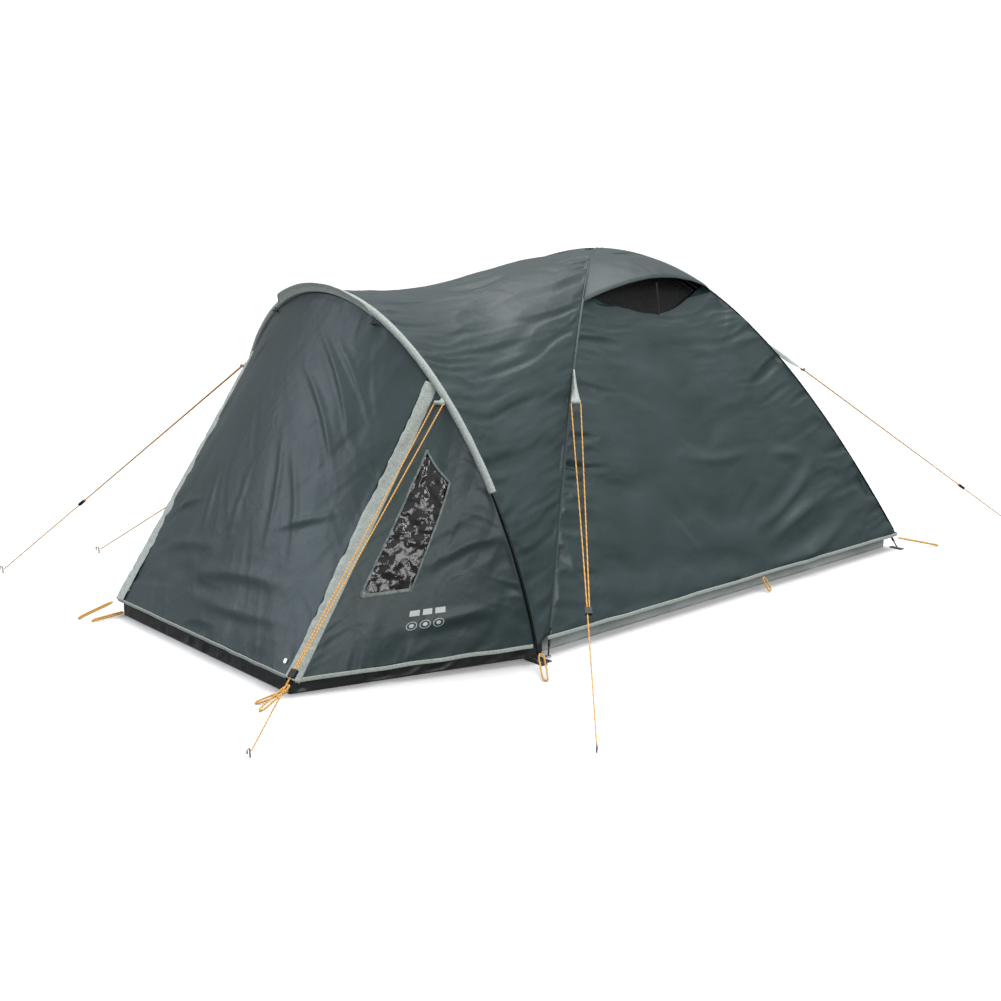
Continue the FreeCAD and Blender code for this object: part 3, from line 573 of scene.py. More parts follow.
def add_node(tree: bpy.types.NodeTree, kind: str, settings: dict | None = None,
             links: dict | None = None) -> bpy.types.Node:
    """Adds one node with its settings and links.

    Args:
        tree: The node tree.
        kind: The node's type.
        settings: Values by socket name or number, or by the node's own property.
        links: Output sockets by the name or number of the input that they feed.

    Returns:
        The node.
    """
    node = tree.nodes.new(kind)
    for name, value in (settings or {}).items():
        if isinstance(name, int) or name in node.inputs:
            node.inputs[name].default_value = value
        else:
            setattr(node, name, value)
    for name, source in (links or {}).items():
        tree.links.new(source, node.inputs[name])
    return node


def blank_material(name: str) -> tuple[bpy.types.Material, bpy.types.NodeTree]:
    """An empty node material and its tree."""
    material = bpy.data.materials.new(name)
    material.use_nodes = True
    material.node_tree.nodes.clear()
    return material, material.node_tree


def grainy(tree: bpy.types.NodeTree, where: bpy.types.NodeSocket, size_mm: float, detail: float,
           ridged: bool = False) -> bpy.types.NodeSocket:
    """Noise with grains of one size, soft or in sharp ridges."""
    kind = "RIDGED_MULTIFRACTAL" if ridged else "FBM"
    noise = add_node(tree, "ShaderNodeTexNoise",
                     {"noise_type": kind, "Scale": 1000.0 / size_mm, "Detail": detail}, {"Vector": where})
    return noise.outputs["Fac"]


def bumped(tree: bpy.types.NodeTree, height: bpy.types.NodeSocket, strength: float, distance: float,
           over: bpy.types.NodeSocket | None = None) -> bpy.types.NodeSocket:
    """Normal raised by a height, a distance in metres at most, over another normal if there is one."""
    links = {"Height": height} if over is None else {"Height": height, "Normal": over}
    bump = add_node(tree, "ShaderNodeBump", {"Strength": strength, "Distance": distance}, links)
    return bump.outputs["Normal"]


def ranged(tree: bpy.types.NodeTree, value: bpy.types.NodeSocket, low: float, high: float,
           start: float = 0.0, end: float = 1.0) -> bpy.types.NodeSocket:
    """A value that runs from start to end, moved to run from low to high."""
    limits = {"From Min": start, "From Max": end, "To Min": low, "To Max": high}
    return add_node(tree, "ShaderNodeMapRange", limits, {"Value": value}).outputs[0]


def surface(tree: bpy.types.NodeTree, settings: dict, links: dict) -> bpy.types.Node:
    """The shader that most finishes share."""
    return add_node(tree, "ShaderNodeBsdfPrincipled", settings, links)


def finish_material(tree: bpy.types.NodeTree, shader: bpy.types.Node) -> None:
    """Ends a material in its last shader."""
    add_node(tree, "ShaderNodeOutputMaterial", {}, {"Surface": shader.outputs[0]})


def blotches(tree: bpy.types.NodeTree, where: bpy.types.NodeSocket, size_mm: float,
             low: str, high: str, spread: tuple[float, float] = (0.35, 0.65)) -> bpy.types.NodeSocket:
    """Colour that wanders between two tones, as dye and dirt do.

    Args:
        tree: The node tree.
        where: Coordinates in metres.
        size_mm: Size of one blotch.
        low: Hex code of the darker tone.
        high: Hex code of the lighter tone.
        spread: Where on the noise the two tones sit.

    Returns:
        The colour socket.
    """
    ramp = add_node(tree, "ShaderNodeValToRGB", {}, {"Fac": grainy(tree, where, size_mm, 3.0)})
    ramp.color_ramp.elements[0].position, ramp.color_ramp.elements[1].position = spread
    ramp.color_ramp.elements[0].color, ramp.color_ramp.elements[1].color = linear(low), linear(high)
    return ramp.outputs["Color"]


def woven(tree: bpy.types.NodeTree, where: bpy.types.NodeSocket, thread_mm: float) -> bpy.types.NodeSocket:
    """Height of a plain weave: two sets of threads that cross.

    Args:
        tree: The node tree.
        where: Flat coordinates in metres.
        thread_mm: Distance from thread to thread.

    Returns:
        The height socket, from 0 to 1.
    """
    scale = 1000.0 / thread_mm / 2
    bands = [add_node(tree, "ShaderNodeTexWave", {"bands_direction": way, "Scale": scale * 0.314,
                                                  "Distortion": 0.4, "Detail": 1.0}, {"Vector": where})
             for way in ("X", "Y")]
    both = add_node(tree, "ShaderNodeMath", {"operation": "MULTIPLY"},
                    {0: bands[0].outputs["Fac"], 1: bands[1].outputs["Fac"]})
    return both.outputs[0]


@dataclass(frozen=True)
class WovenPolyester:
    """Woven polyester, plain or with a coated face: threads, crinkles and uneven tone."""

    name: str
    dark: str
    light: str
    roughness: float = 0.42
    coat: float = 0.0
    sheen: float = 0.15
    thread_mm: float = 3.0
    thread_depth: float = 0.0003
    crinkle_mm: float = 26.0
    crinkle_depth: float = 0.0014
    tone_mm: float = 220.0
    glow: float = 0.0

    def make(self) -> bpy.types.Material:
        """Builds the node material."""
        material, tree = blank_material(self.name)
        flat = add_node(tree, "ShaderNodeAttribute", {"attribute_name": "flat_place"})
        where = add_node(tree, "ShaderNodeTexCoord").outputs["Object"]
        colour = blotches(tree, where, self.tone_mm, self.dark, self.light)
        # Threads are really 0.3 mm apart; they are drawn coarser so that the cloth shows its weave.
        weave = woven(tree, flat.outputs["Vector"], self.thread_mm)
        # The colour is darkened a little in the gaps between threads, where the weave's bump is low: painted
        # shade.
        thread_gap_shade = ranged(tree, weave, 0.72, 1.0, end=0.5)
        colour_with_thread_shade = add_node(tree, "ShaderNodeMix", {"data_type": "RGBA", "blend_type": "MULTIPLY", 0: 0.16},
                       {6: colour, 7: thread_gap_shade}).outputs[2]
        # Packed cloth keeps a net of small sharp creases.
        crush = grainy(tree, where, self.crinkle_mm, 3.0, ridged=True)
        crinkle = bumped(tree, crush, 0.55, self.crinkle_depth)
        threads = bumped(tree, weave, 0.5, self.thread_depth, crinkle)
        gloss = ranged(tree, grainy(tree, where, GLOSS_PATCH_MM, 2.0), self.roughness - 0.06,
                       self.roughness + 0.08)
        shader = surface(tree, {"Sheen Weight": self.sheen, "Sheen Roughness": 0.4, "IOR": 1.5,
                                "Coat Weight": self.coat, "Coat Roughness": 0.3},
                         {"Base Color": colour_with_thread_shade, "Roughness": gloss, "Normal": threads})
        # Thin cloth lets some of the light on its far side through.
        through = add_node(tree, "ShaderNodeBsdfTranslucent", {}, {"Color": colour_with_thread_shade})
        both = add_node(tree, "ShaderNodeMixShader", {0: self.glow},
                        {1: shader.outputs[0], 2: through.outputs[0]})
        finish_material(tree, both)
        return material


@dataclass(frozen=True)
class MouldedPlastic:
    """Injection-moulded nylon or acetal: fine spark-eroded grain and slight scuffs."""

    name: str
    dark: str
    light: str
    roughness: float = 0.45
    grain_mm: float = 1.2

    def make(self) -> bpy.types.Material:
        """Builds the node material."""
        material, tree = blank_material(self.name)
        where = add_node(tree, "ShaderNodeTexCoord").outputs["Object"]
        colour = blotches(tree, where, 14.0, self.dark, self.light)
        grain = grainy(tree, where, self.grain_mm, 2.0)
        gloss = ranged(tree, grain, self.roughness - 0.1, self.roughness + 0.12)
        shader = surface(tree, {"IOR": 1.5}, {"Base Color": colour, "Roughness": gloss,
                                              "Normal": bumped(tree, grain, 0.3, 0.0002)})
        finish_material(tree, shader)
        return material


@dataclass(frozen=True)
class DrawnMetal:
    """Drawn or plated metal: faint lines along its length and dulled patches."""

    name: str
    dark: str
    light: str
    roughness: float = 0.3
    line_mm: float = 0.8

    def make(self) -> bpy.types.Material:
        """Builds the node material."""
        material, tree = blank_material(self.name)
        where = add_node(tree, "ShaderNodeTexCoord").outputs["Object"]
        colour = blotches(tree, where, 9.0, self.dark, self.light)
        line = grainy(tree, where, self.line_mm, 4.0)
        gloss = ranged(tree, line, self.roughness - 0.08, self.roughness + 0.15)
        shader = surface(tree, {"Metallic": 1.0}, {"Base Color": colour, "Roughness": gloss,
                                                   "Normal": bumped(tree, line, 0.25, 0.0001)})
        finish_material(tree, shader)
        return material


@dataclass(frozen=True)
class BraidedCord:
    """Braided sheath over a core: diagonal strands, darker in their grooves as painted shade and lighter on
    their crests.
    """

    name: str
    dark: str
    light: str
    strand_mm: float = 5.0
    roughness: float = 0.6

    def make(self) -> bpy.types.Material:
        """Builds the node material."""
        material, tree = blank_material(self.name)
        where = add_node(tree, "ShaderNodeTexCoord").outputs["Object"]
        # A plait is 1.5 mm long; it is drawn coarser so that it still shows on a thin cord.
        plait = add_node(tree, "ShaderNodeTexWave", {"bands_direction": "DIAGONAL", "Distortion": 1.2,
                                                     "Scale": 314.0 / self.strand_mm, "Detail": 1.0},
                         {"Vector": where})
        # The colour follows the plait's height: the grooves between strands are darker as painted shade and
        # the crests lighter as painted highlight.
        ramp = add_node(tree, "ShaderNodeValToRGB", {}, {"Fac": plait.outputs["Fac"]})
        ramp.color_ramp.elements[0].color = linear(self.dark)
        ramp.color_ramp.elements[1].color = linear(self.light)
        strands = bumped(tree, plait.outputs["Fac"], 0.6, 0.0005)
        shader = surface(tree, {"Roughness": self.roughness, "Sheen Weight": 0.3, "IOR": 1.5},
                         {"Base Color": ramp.outputs["Color"], "Normal": strands})
        finish_material(tree, shader)
        return material


@dataclass(frozen=True)
class ClearVinyl:
    """Pressed clear vinyl sheet over a dark room, coloured near black as painted shade of that room: glassy,
    with sharp white creases where it was folded.
    """

    name: str
    tint: str
    haze: str

    def make(self) -> bpy.types.Material:
        """Builds the node material."""
        material, tree = blank_material(self.name)
        where = add_node(tree, "ShaderNodeTexCoord").outputs["Object"]
        # The near-black tones are painted shade: they stand for the dark porch seen through the clear film.
        colour = blotches(tree, where, 60.0, self.tint, self.haze, (0.55, 0.9))
        cell = add_node(tree, "ShaderNodeTexVoronoi", {"feature": "DISTANCE_TO_EDGE", "Scale": 42.0,
                                                       "Randomness": 1.0}, {"Vector": where})
        ridge = grainy(tree, where, RIDGE_MM, 4.0, ridged=True)
        pressed = bumped(tree, cell.outputs["Distance"], 0.6, 0.004)
        shader = surface(tree, {"Roughness": 0.08, "IOR": 1.52, "Coat Weight": 0.6,
                                "Coat Roughness": 0.04, "Alpha": 0.86},
                         {"Base Color": colour, "Normal": bumped(tree, ridge, 0.5, 0.0012, pressed)})
        finish_material(tree, shader)
        return material


@dataclass(frozen=True)
class InsectNet:
    """Knitted insect net: a fine grid of dark yarn with open cells between."""

    name: str
    yarn: str
    cell_mm: float = 6.0

    def make(self) -> bpy.types.Material:
        """Builds the node material."""
        material, tree = blank_material(self.name)
        flat = add_node(tree, "ShaderNodeAttribute", {"attribute_name": "flat_place"})
        # Cells are really 1 mm across; they are drawn coarser so that the net shows as a net.
        knit = woven(tree, flat.outputs["Vector"], self.cell_mm)
        solid = ranged(tree, knit, 1.0, 0.35, 0.05, 0.5)
        colour = blotches(tree, flat.outputs["Vector"], 40.0, self.yarn, "#0e1112")
        shader = surface(tree, {"Roughness": 0.8, "Sheen Weight": 0.2},
                         {"Base Color": colour, "Alpha": solid})
        finish_material(tree, shader)
        return material


@dataclass(frozen=True)
class Finishes:
    """All the tent's materials, made once."""

    fly: bpy.types.Material
    trim: bpy.types.Material
    webbing: bpy.types.Material
    fibreglass: bpy.types.Material
    steel: bpy.types.Material
    dark_steel: bpy.types.Material
    loops: bpy.types.Material
    plastic: bpy.types.Material
    net: bpy.types.Material
    vinyl: bpy.types.Material
    cord: bpy.types.Material
    stud: bpy.types.Material
    zip_tape: bpy.types.Material
    zip_metal: bpy.types.Material
    inner: bpy.types.Material
    tray: bpy.types.Material
    porch_tray: bpy.types.Material
    ink: bpy.types.Material
    binding: bpy.types.Material
    shock_cord: bpy.types.Material

    @classmethod
    def make(cls) -> Finishes:
        """Builds every finish."""
        return cls(
            # Polyurethane-coated polyester taffeta: a slight gloss that catches light on folds.
            fly=WovenPolyester("coated_polyester_taffeta", "#2c3c3e", "#324345", roughness=0.4,
                               sheen=0.0).make(),
            # Melange polyester tape: pale threads with grey-green ones between them.
            trim=WovenPolyester("melange_polyester_tape", "#b2bcb6", "#d0d8d3", roughness=0.65,
                                sheen=0.1, thread_mm=4.0, crinkle_mm=14.0, crinkle_depth=0.0006,
                                tone_mm=5.0, glow=0.2).make(),
            # Woven polypropylene webbing: black, with a dull shine on its ribs.
            webbing=WovenPolyester("polypropylene_webbing", "#141516", "#232526", roughness=0.55,
                                   thread_mm=2.5, thread_depth=0.0006, tone_mm=30.0).make(),
            # Pultruded fibreglass rod: smooth dark resin with glass strands under it.
            fibreglass=MouldedPlastic("pultruded_fibreglass", "#16181a", "#24282a", 0.28, 3.0).make(),
            # Zinc-plated steel: greyish and a little cloudy.
            steel=DrawnMetal("zinc_plated_steel", "#9a9c9c", "#c2c4c4", 0.34).make(),
            # Blackened steel tube: dark, with the drawing lines just showing.
            dark_steel=DrawnMetal("blackened_steel", "#303335", "#45494b", 0.4).make(),
            # Rubber cord in a braided yellow sheath.
            loops=BraidedCord("braided_elastic_loop", "#c08420", "#f2bc54", 5.0).make(),
            # Acetal: black with a soft moulded grain.
            plastic=MouldedPlastic("moulded_acetal", "#121314", "#1f2122", 0.42).make(),
            net=InsectNet("knitted_insect_net", "#050606").make(),
            # Clear vinyl, given near-black colours as painted shade of the dark porch behind it.
            vinyl=ClearVinyl("clear_vinyl", "#17171a", "#2a2725").make(),
            # Braided polyester guy cord: orange, with painted shade in the grooves between its strands.
            cord=BraidedCord("braided_polyester_cord", "#cf8a2e", "#f4bc54", 6.0).make(),
            stud=DrawnMetal("nickel_plated_brass", "#c8c4bc", "#ece8e0", 0.18).make(),
            zip_tape=WovenPolyester("knitted_zip_tape", "#1a2021", "#262d2e", roughness=0.6,
                                    thread_mm=2.0, thread_depth=0.0006, tone_mm=20.0).make(),
            zip_metal=MouldedPlastic("enamelled_zinc", "#2c2f30", "#3c4041", 0.3).make(),
            # Breathable polyester: uncoated, matt and soft.
            inner=WovenPolyester("breathable_polyester", "#8a918f", "#a1a8a5", roughness=0.7,
                                 sheen=0.35, tone_mm=120.0).make(),
            # Laminated polyethylene: waxy, with sharp packing creases.
            tray=WovenPolyester("laminated_polyethylene", "#9aa2a0", "#b2bab7", roughness=0.45,
                                coat=0.1, thread_mm=5.0, crinkle_mm=18.0, crinkle_depth=0.002).make(),
            porch_tray=WovenPolyester("laminated_polyethylene_black", "#191c1d", "#2a2e2f", roughness=0.4,
                                      coat=0.15, thread_mm=5.0, crinkle_mm=18.0,
                                      crinkle_depth=0.002).make(),
            # Satin polyester binding: a little lighter than the cloth it edges.
            binding=WovenPolyester("satin_polyester_binding", "#56625f", "#7c8885", roughness=0.35,
                                   thread_mm=3.0, crinkle_mm=9.0, tone_mm=14.0).make(),
            # Screen-printed ink: flat and pale, a little broken by the weave.
            ink=WovenPolyester("screen_ink", "#c4cccb", "#dde2e0", roughness=0.6, thread_mm=3.0).make(),
            shock_cord=BraidedCord("braided_shock_cord", "#c9c9c2", "#efefe8", 3.0).make(),
        )


def dress(item: bpy.types.Object, material: bpy.types.Material) -> bpy.types.Object:
    """Gives a piece one material."""
    item.data.materials.clear()
    item.data.materials.append(material)
    return item


@dataclass
class Tent:
    """What every sub-assembly works with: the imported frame, the finishes and a report."""

    frame: dict
    finishes: Finishes
    reported: list[str] = field(default_factory=list)

    def settle(self, item: bpy.types.Object, material: bpy.types.Material, slot: str,
               nodes: Sequence[str] = (), body: str = SHELL) -> bpy.types.Object:
        """Finishes one piece that rides on one body.

        Args:
            item: The piece, in place.
            material: Its finish.
            slot: The record's material slot; not used.
            nodes: CAD nodes that it stands for.
            body: The CAD body that it moves with.

        Returns:
            The same piece.
        """
        dress(item, material)
        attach(item, body)
        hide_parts(*nodes)
        return self.report(item)

    def lay_sheet(self, cloth: Cloth, material: bpy.types.Material, slot: str, nodes: Sequence[str],
                  rests_on: Sequence[str], held: str = "stretched", thickness: float = 0.0008,
                  body: str = SHELL) -> bpy.types.Object:
        """Args:
            cloth: The cut.
            material: Its finish.
            slot: The record's material slot; passed on to settle, which doesn't use it.
            nodes: CAD nodes that it stands for.
            rests_on: What it lies on or hangs from; not used.
            held: How it is held; not used.
            thickness: The cloth's thickness.
            body: The CAD body that it moves with.

        Returns:
            The piece.
        """
        piece = self.settle(cloth.build(thickness), material, slot, nodes, body)
        return piece

    def report(self, item: bpy.types.Object) -> bpy.types.Object:
        """Logs one piece."""
        self.reported.append(item.name)
        LOG.info("piece %s", item.name)
        return item

    def dress_nodes(self, material: bpy.types.Material, *nodes: str) -> None:
        """Gives CAD nodes that stay a better finish."""
        for node in nodes:
            dress(self.frame["nodes"][node], material)
            LOG.info("dressed %s", node)


# ---- Camera and studio --------------------------------------------------------------
@dataclass
class Studio:
    """Plain pale floor, soft lights and the camera."""

    eye: Point = (3.794, -3.508, 1.486)
    azimuth: float = 47.983
    elevation: float = 13.159
    roll: float = 0.057
    lens: float = 50.74
    floor_size: float = 60.0
    overhead: float = 1.8
    overhead_spread: float = 50.0

    def build(self) -> None:
        """Makes the camera, the floor and the lights."""
        self.camera()
        self.floor()
        self.world()
        self.ceiling()
        self.soft_box("key", (-3.4, -5.2, 3.4), (0.0, -0.9, 0.5), 3.0, 85.0, "#e6efff")
        self.soft_box("side", (6.5, 0.8, 4.2), (0.3, 0.4, 0.5), 2.2, 125.0, "#ffffff")
        self.soft_box("fill", (6.4, -2.6, 2.0), (0.3, -0.6, 0.4), 2.6, 70.0, "#ffffff")

    def ceiling(self) -> None:
        """Lights everything from overhead, evenly, as a wide bank of lamps does."""
        data = bpy.data.lights.new("ceiling", "SUN")
        data.energy = self.overhead
        data.angle = math.radians(self.overhead_spread)
        light = bpy.data.objects.new("ceiling", data)
        light.rotation_euler = (math.radians(-12.0), math.radians(-6.0), 0.0)
        bpy.context.scene.collection.objects.link(light)

    def camera(self) -> None:
        """Places the camera."""
        data = bpy.data.cameras.new("camera")
        data.lens = self.lens
        data.sensor_width = 36.0
        data.clip_end = 200.0
        camera = bpy.data.objects.new("camera", data)
        bpy.context.scene.collection.objects.link(camera)
        turn, rise = math.radians(self.azimuth), math.radians(self.elevation)
        back = Vector((math.sin(turn) * math.cos(rise), -math.cos(turn) * math.cos(rise), math.sin(rise)))
        facing = (-back).to_track_quat("-Z", "Y").to_matrix().to_4x4()
        camera.matrix_world = Matrix.Translation(self.eye) @ facing @ Matrix.Rotation(
            math.radians(self.roll), 4, "Z")
        bpy.context.scene.camera = camera

    def floor(self) -> None:
        """Lays a wide pale floor that isn't part of the tent."""
        half = self.floor_size / 2
        reach = np.array([[-half, half], [-half, half]])
        corners = place(reach.T, reach, 0.0)
        item = grid_object("studio_floor", corners - np.array([0, 0, 0.0006]), (np.zeros((2, 2)),) * 2)
        material, tree = blank_material("painted_board")
        where = add_node(tree, "ShaderNodeTexCoord").outputs["Object"]
        colour = blotches(tree, where, 3000.0, "#fafafa", "#fdfdfd")
        finish_material(tree, surface(tree, {"Roughness": 0.9, "Specular IOR Level": 0.1},
                                      {"Base Color": colour}))
        dress(item, material)
        item.visible_diffuse = False
        item.visible_glossy = False

    def world(self) -> None:
        """Surrounds the studio with soft white light, brighter from above."""
        world = bpy.data.worlds.new("studio_world")
        bpy.context.scene.world = world
        world.use_nodes = True
        tree = world.node_tree
        tree.nodes.clear()
        seen = add_node(tree, "ShaderNodeLightPath")
        white = add_node(tree, "ShaderNodeBackground", {"Color": (1.0, 1.0, 1.0, 1.0), "Strength": 1.05})
        way = add_node(tree, "ShaderNodeSeparateXYZ", {},
                       {0: add_node(tree, "ShaderNodeTexCoord").outputs["Generated"]})
        level = ranged(tree, way.outputs["Z"], 0.14, 0.85, -0.4, 1.0)
        soft = add_node(tree, "ShaderNodeBackground", {"Color": (1.0, 1.0, 1.0, 1.0)},
                        {"Strength": level})
        both = add_node(tree, "ShaderNodeMixShader", {},
                        {0: seen.outputs["Is Camera Ray"], 1: soft.outputs[0], 2: white.outputs[0]})
        add_node(tree, "ShaderNodeOutputWorld", {}, {"Surface": both.outputs[0]})
        bpy.context.scene.view_settings.view_transform = "Standard"

    def soft_box(self, name: str, at: Point, toward: Point, size: float, power: float, tint: str) -> None:
        """Adds one soft light.

        Args:
            name: The light's name.
            at: Where it stands.
            toward: What it faces.
            size: Its width in metres.
            power: Its power in watts.
            tint: Hex code of its colour.
        """
        data = bpy.data.lights.new(name, "AREA")
        data.shape = "DISK"
        data.size = size
        data.energy = power
        data.color = linear(tint)[:3]
        light = bpy.data.objects.new(name, data)
        light.location = at
        light.rotation_euler = (Vector(toward) - Vector(at)).to_track_quat("-Z", "Y").to_euler()
        bpy.context.scene.collection.objects.link(light)


# ---- Guylines -----------------------------------------------------------------------
@dataclass(frozen=True)
class Guyline:
    """One guyline: a tab on the seam, a doubled cord to its runner, and on to the peg."""

    name: str
    seam: Array
    tab_length: float
    peg: Array
    length: float
    cord_radius: float = 0.002
    tab_half: float = 0.016
    runner_half: float = 0.0032
    runner_length: float = 0.024
    runner_share: float = 0.66
    lead: float = 0.024

    @property
    def way(self) -> Array:
        """The way that the line pulls."""
        return unit(self.peg - self.seam)

    @property
    def side(self) -> Array:
        """Level direction across the line."""
        return unit(np.cross(self.way, UP))

    @property
    def face(self) -> Array:
        """Direction off the tab's face."""
        return np.cross(self.side, self.way)

    @property
    def turn(self) -> Array:
        """Where the cord turns in the tab's hem."""
        return self.seam + self.way * (self.tab_length + self.cord_radius + 0.0009)

    @property
    def runner(self) -> Array:
        """The runner's middle."""
        return self.turn + (self.peg - self.turn) * self.runner_share

    def route(self) -> Array:
        """The cord's points: from the knot in the runner, through the tab, down to the peg."""
        knot = self.runner - self.side * self.runner_half + self.way * self.runner_length * 0.3
        rise, fall = self.turn - self.side * self.tab_half, self.turn + self.side * self.tab_half
        through = self.runner + self.side * (self.runner_half - 0.001)
        before = rise + unit(knot - rise) * self.lead
        after = fall + unit(through - fall) * self.lead
        return np.array([knot, before, rise, fall, after, through, self.peg - self.way * 0.004])

    def tab_cloth(self) -> Cloth:
        """The triangular tab, with its foot rolled into a hem round the cord."""
        across = np.linspace(-1, 1, 15)[:, None]
        down = np.linspace(0.010, self.tab_length - 0.0052, 26)
        half = np.interp(down, [down[0], down[-1]], [0.003, self.tab_half])
        curl = 0.0025 * np.sin(np.pi * (down - down[0]) / (down[-1] - down[0]))
        droop = 4.5 * curl[None] * np.abs(across) ** 1.5
        off = curl[None] * (1 - 1.6 * across ** 2) - droop
        roll = np.linspace(-0.9 * np.pi, 0.62 * np.pi, 18)[1:]
        # The hem goes round the cord at 5 mm, from the tab's face and back to it.
        hem_down = self.tab_length + 0.0029 + 0.0052 * np.cos(roll)
        hem_off = 0.0052 * np.sin(roll)
        all_down = np.concatenate([down, hem_down])
        all_off = np.concatenate([off, np.broadcast_to(hem_off, (15, len(roll)))], axis=1)
        all_half = np.concatenate([half, np.full(len(roll), self.tab_half)])
        points = self.seam + all_down[None, :, None] * self.way
        points = points + (across * all_half[None])[..., None] * self.side + all_off[..., None] * self.face
        return Cloth("guy_tab_" + self.name, points, tuple(self.seam - self.face), pinned=(),
                     layers=[Ripple(90, 0.012, 3, 0.0012, 40)])


@dataclass
class Guylines:
    """The six guylines with their tabs, runners and pegs."""

    tent: Tent
    dome_tab_share: float = 0.53
    dome_tab_length: float = 0.175
    hoop_tab_length: float = 0.026
    peg_height: float = 0.014

    def seam(self, side_x: int, side_y: int) -> Array:
        """Where a tab is sewn to a dome seam."""
        share = self.dome_tab_share
        reach = side_y * TENT.half_length * share
        return place(side_x * TENT.half_width * share, TENT.centre_y + reach, TENT.height * TENT.arch(share))

    def lines(self) -> list[Guyline]:
        """The six lines, with the lengths that the CAD gives them."""
        hoop = TENT.hoop_point(42.6, -0.006, -0.008)
        high, tab, low = self.peg_height, self.dome_tab_length, self.hoop_tab_length
        return [
            Guyline("hoop_right", hoop, low, np.array([0.817, -1.699, high]), 2.196, runner_share=0.80),
            Guyline("hoop_left", mirrored(hoop), low, np.array([-1.285, -1.464, high]), 2.103),
            Guyline("front_right", self.seam(1, -1), tab, np.array([1.395, -1.006, high]), 2.304),
            Guyline("front_left", self.seam(-1, -1), tab, np.array([-1.309, -1.060, high]), 2.270),
            Guyline("rear_right", self.seam(1, 1), tab, np.array([1.155, 1.808, high]), 2.079),
            Guyline("rear_left", self.seam(-1, 1), tab, np.array([-1.155, 1.808, high]), 2.079),
        ]

    def build(self) -> None:
        """Makes the cords and tabs and dresses the runners and pegs."""
        nodes, finishes = self.tent.frame["nodes"], self.tent.finishes
        for line in self.lines():
            route = line.route()
            cord = cord_curve("guy_cord_" + line.name, route, line.cord_radius)
            self.tent.settle(cord, finishes.cord, "guy_cord", ["guyline_" + line.name])
            self.tent.lay_sheet(line.tab_cloth(), finishes.trim, "pale_trim", ["guy_tabs"], [cord.name],
                                thickness=TRIM_THICKNESS)
            self.tent.dress_nodes(finishes.plastic, "runner_" + line.name)
        self.tent.dress_nodes(finishes.steel, "guy_pegs")


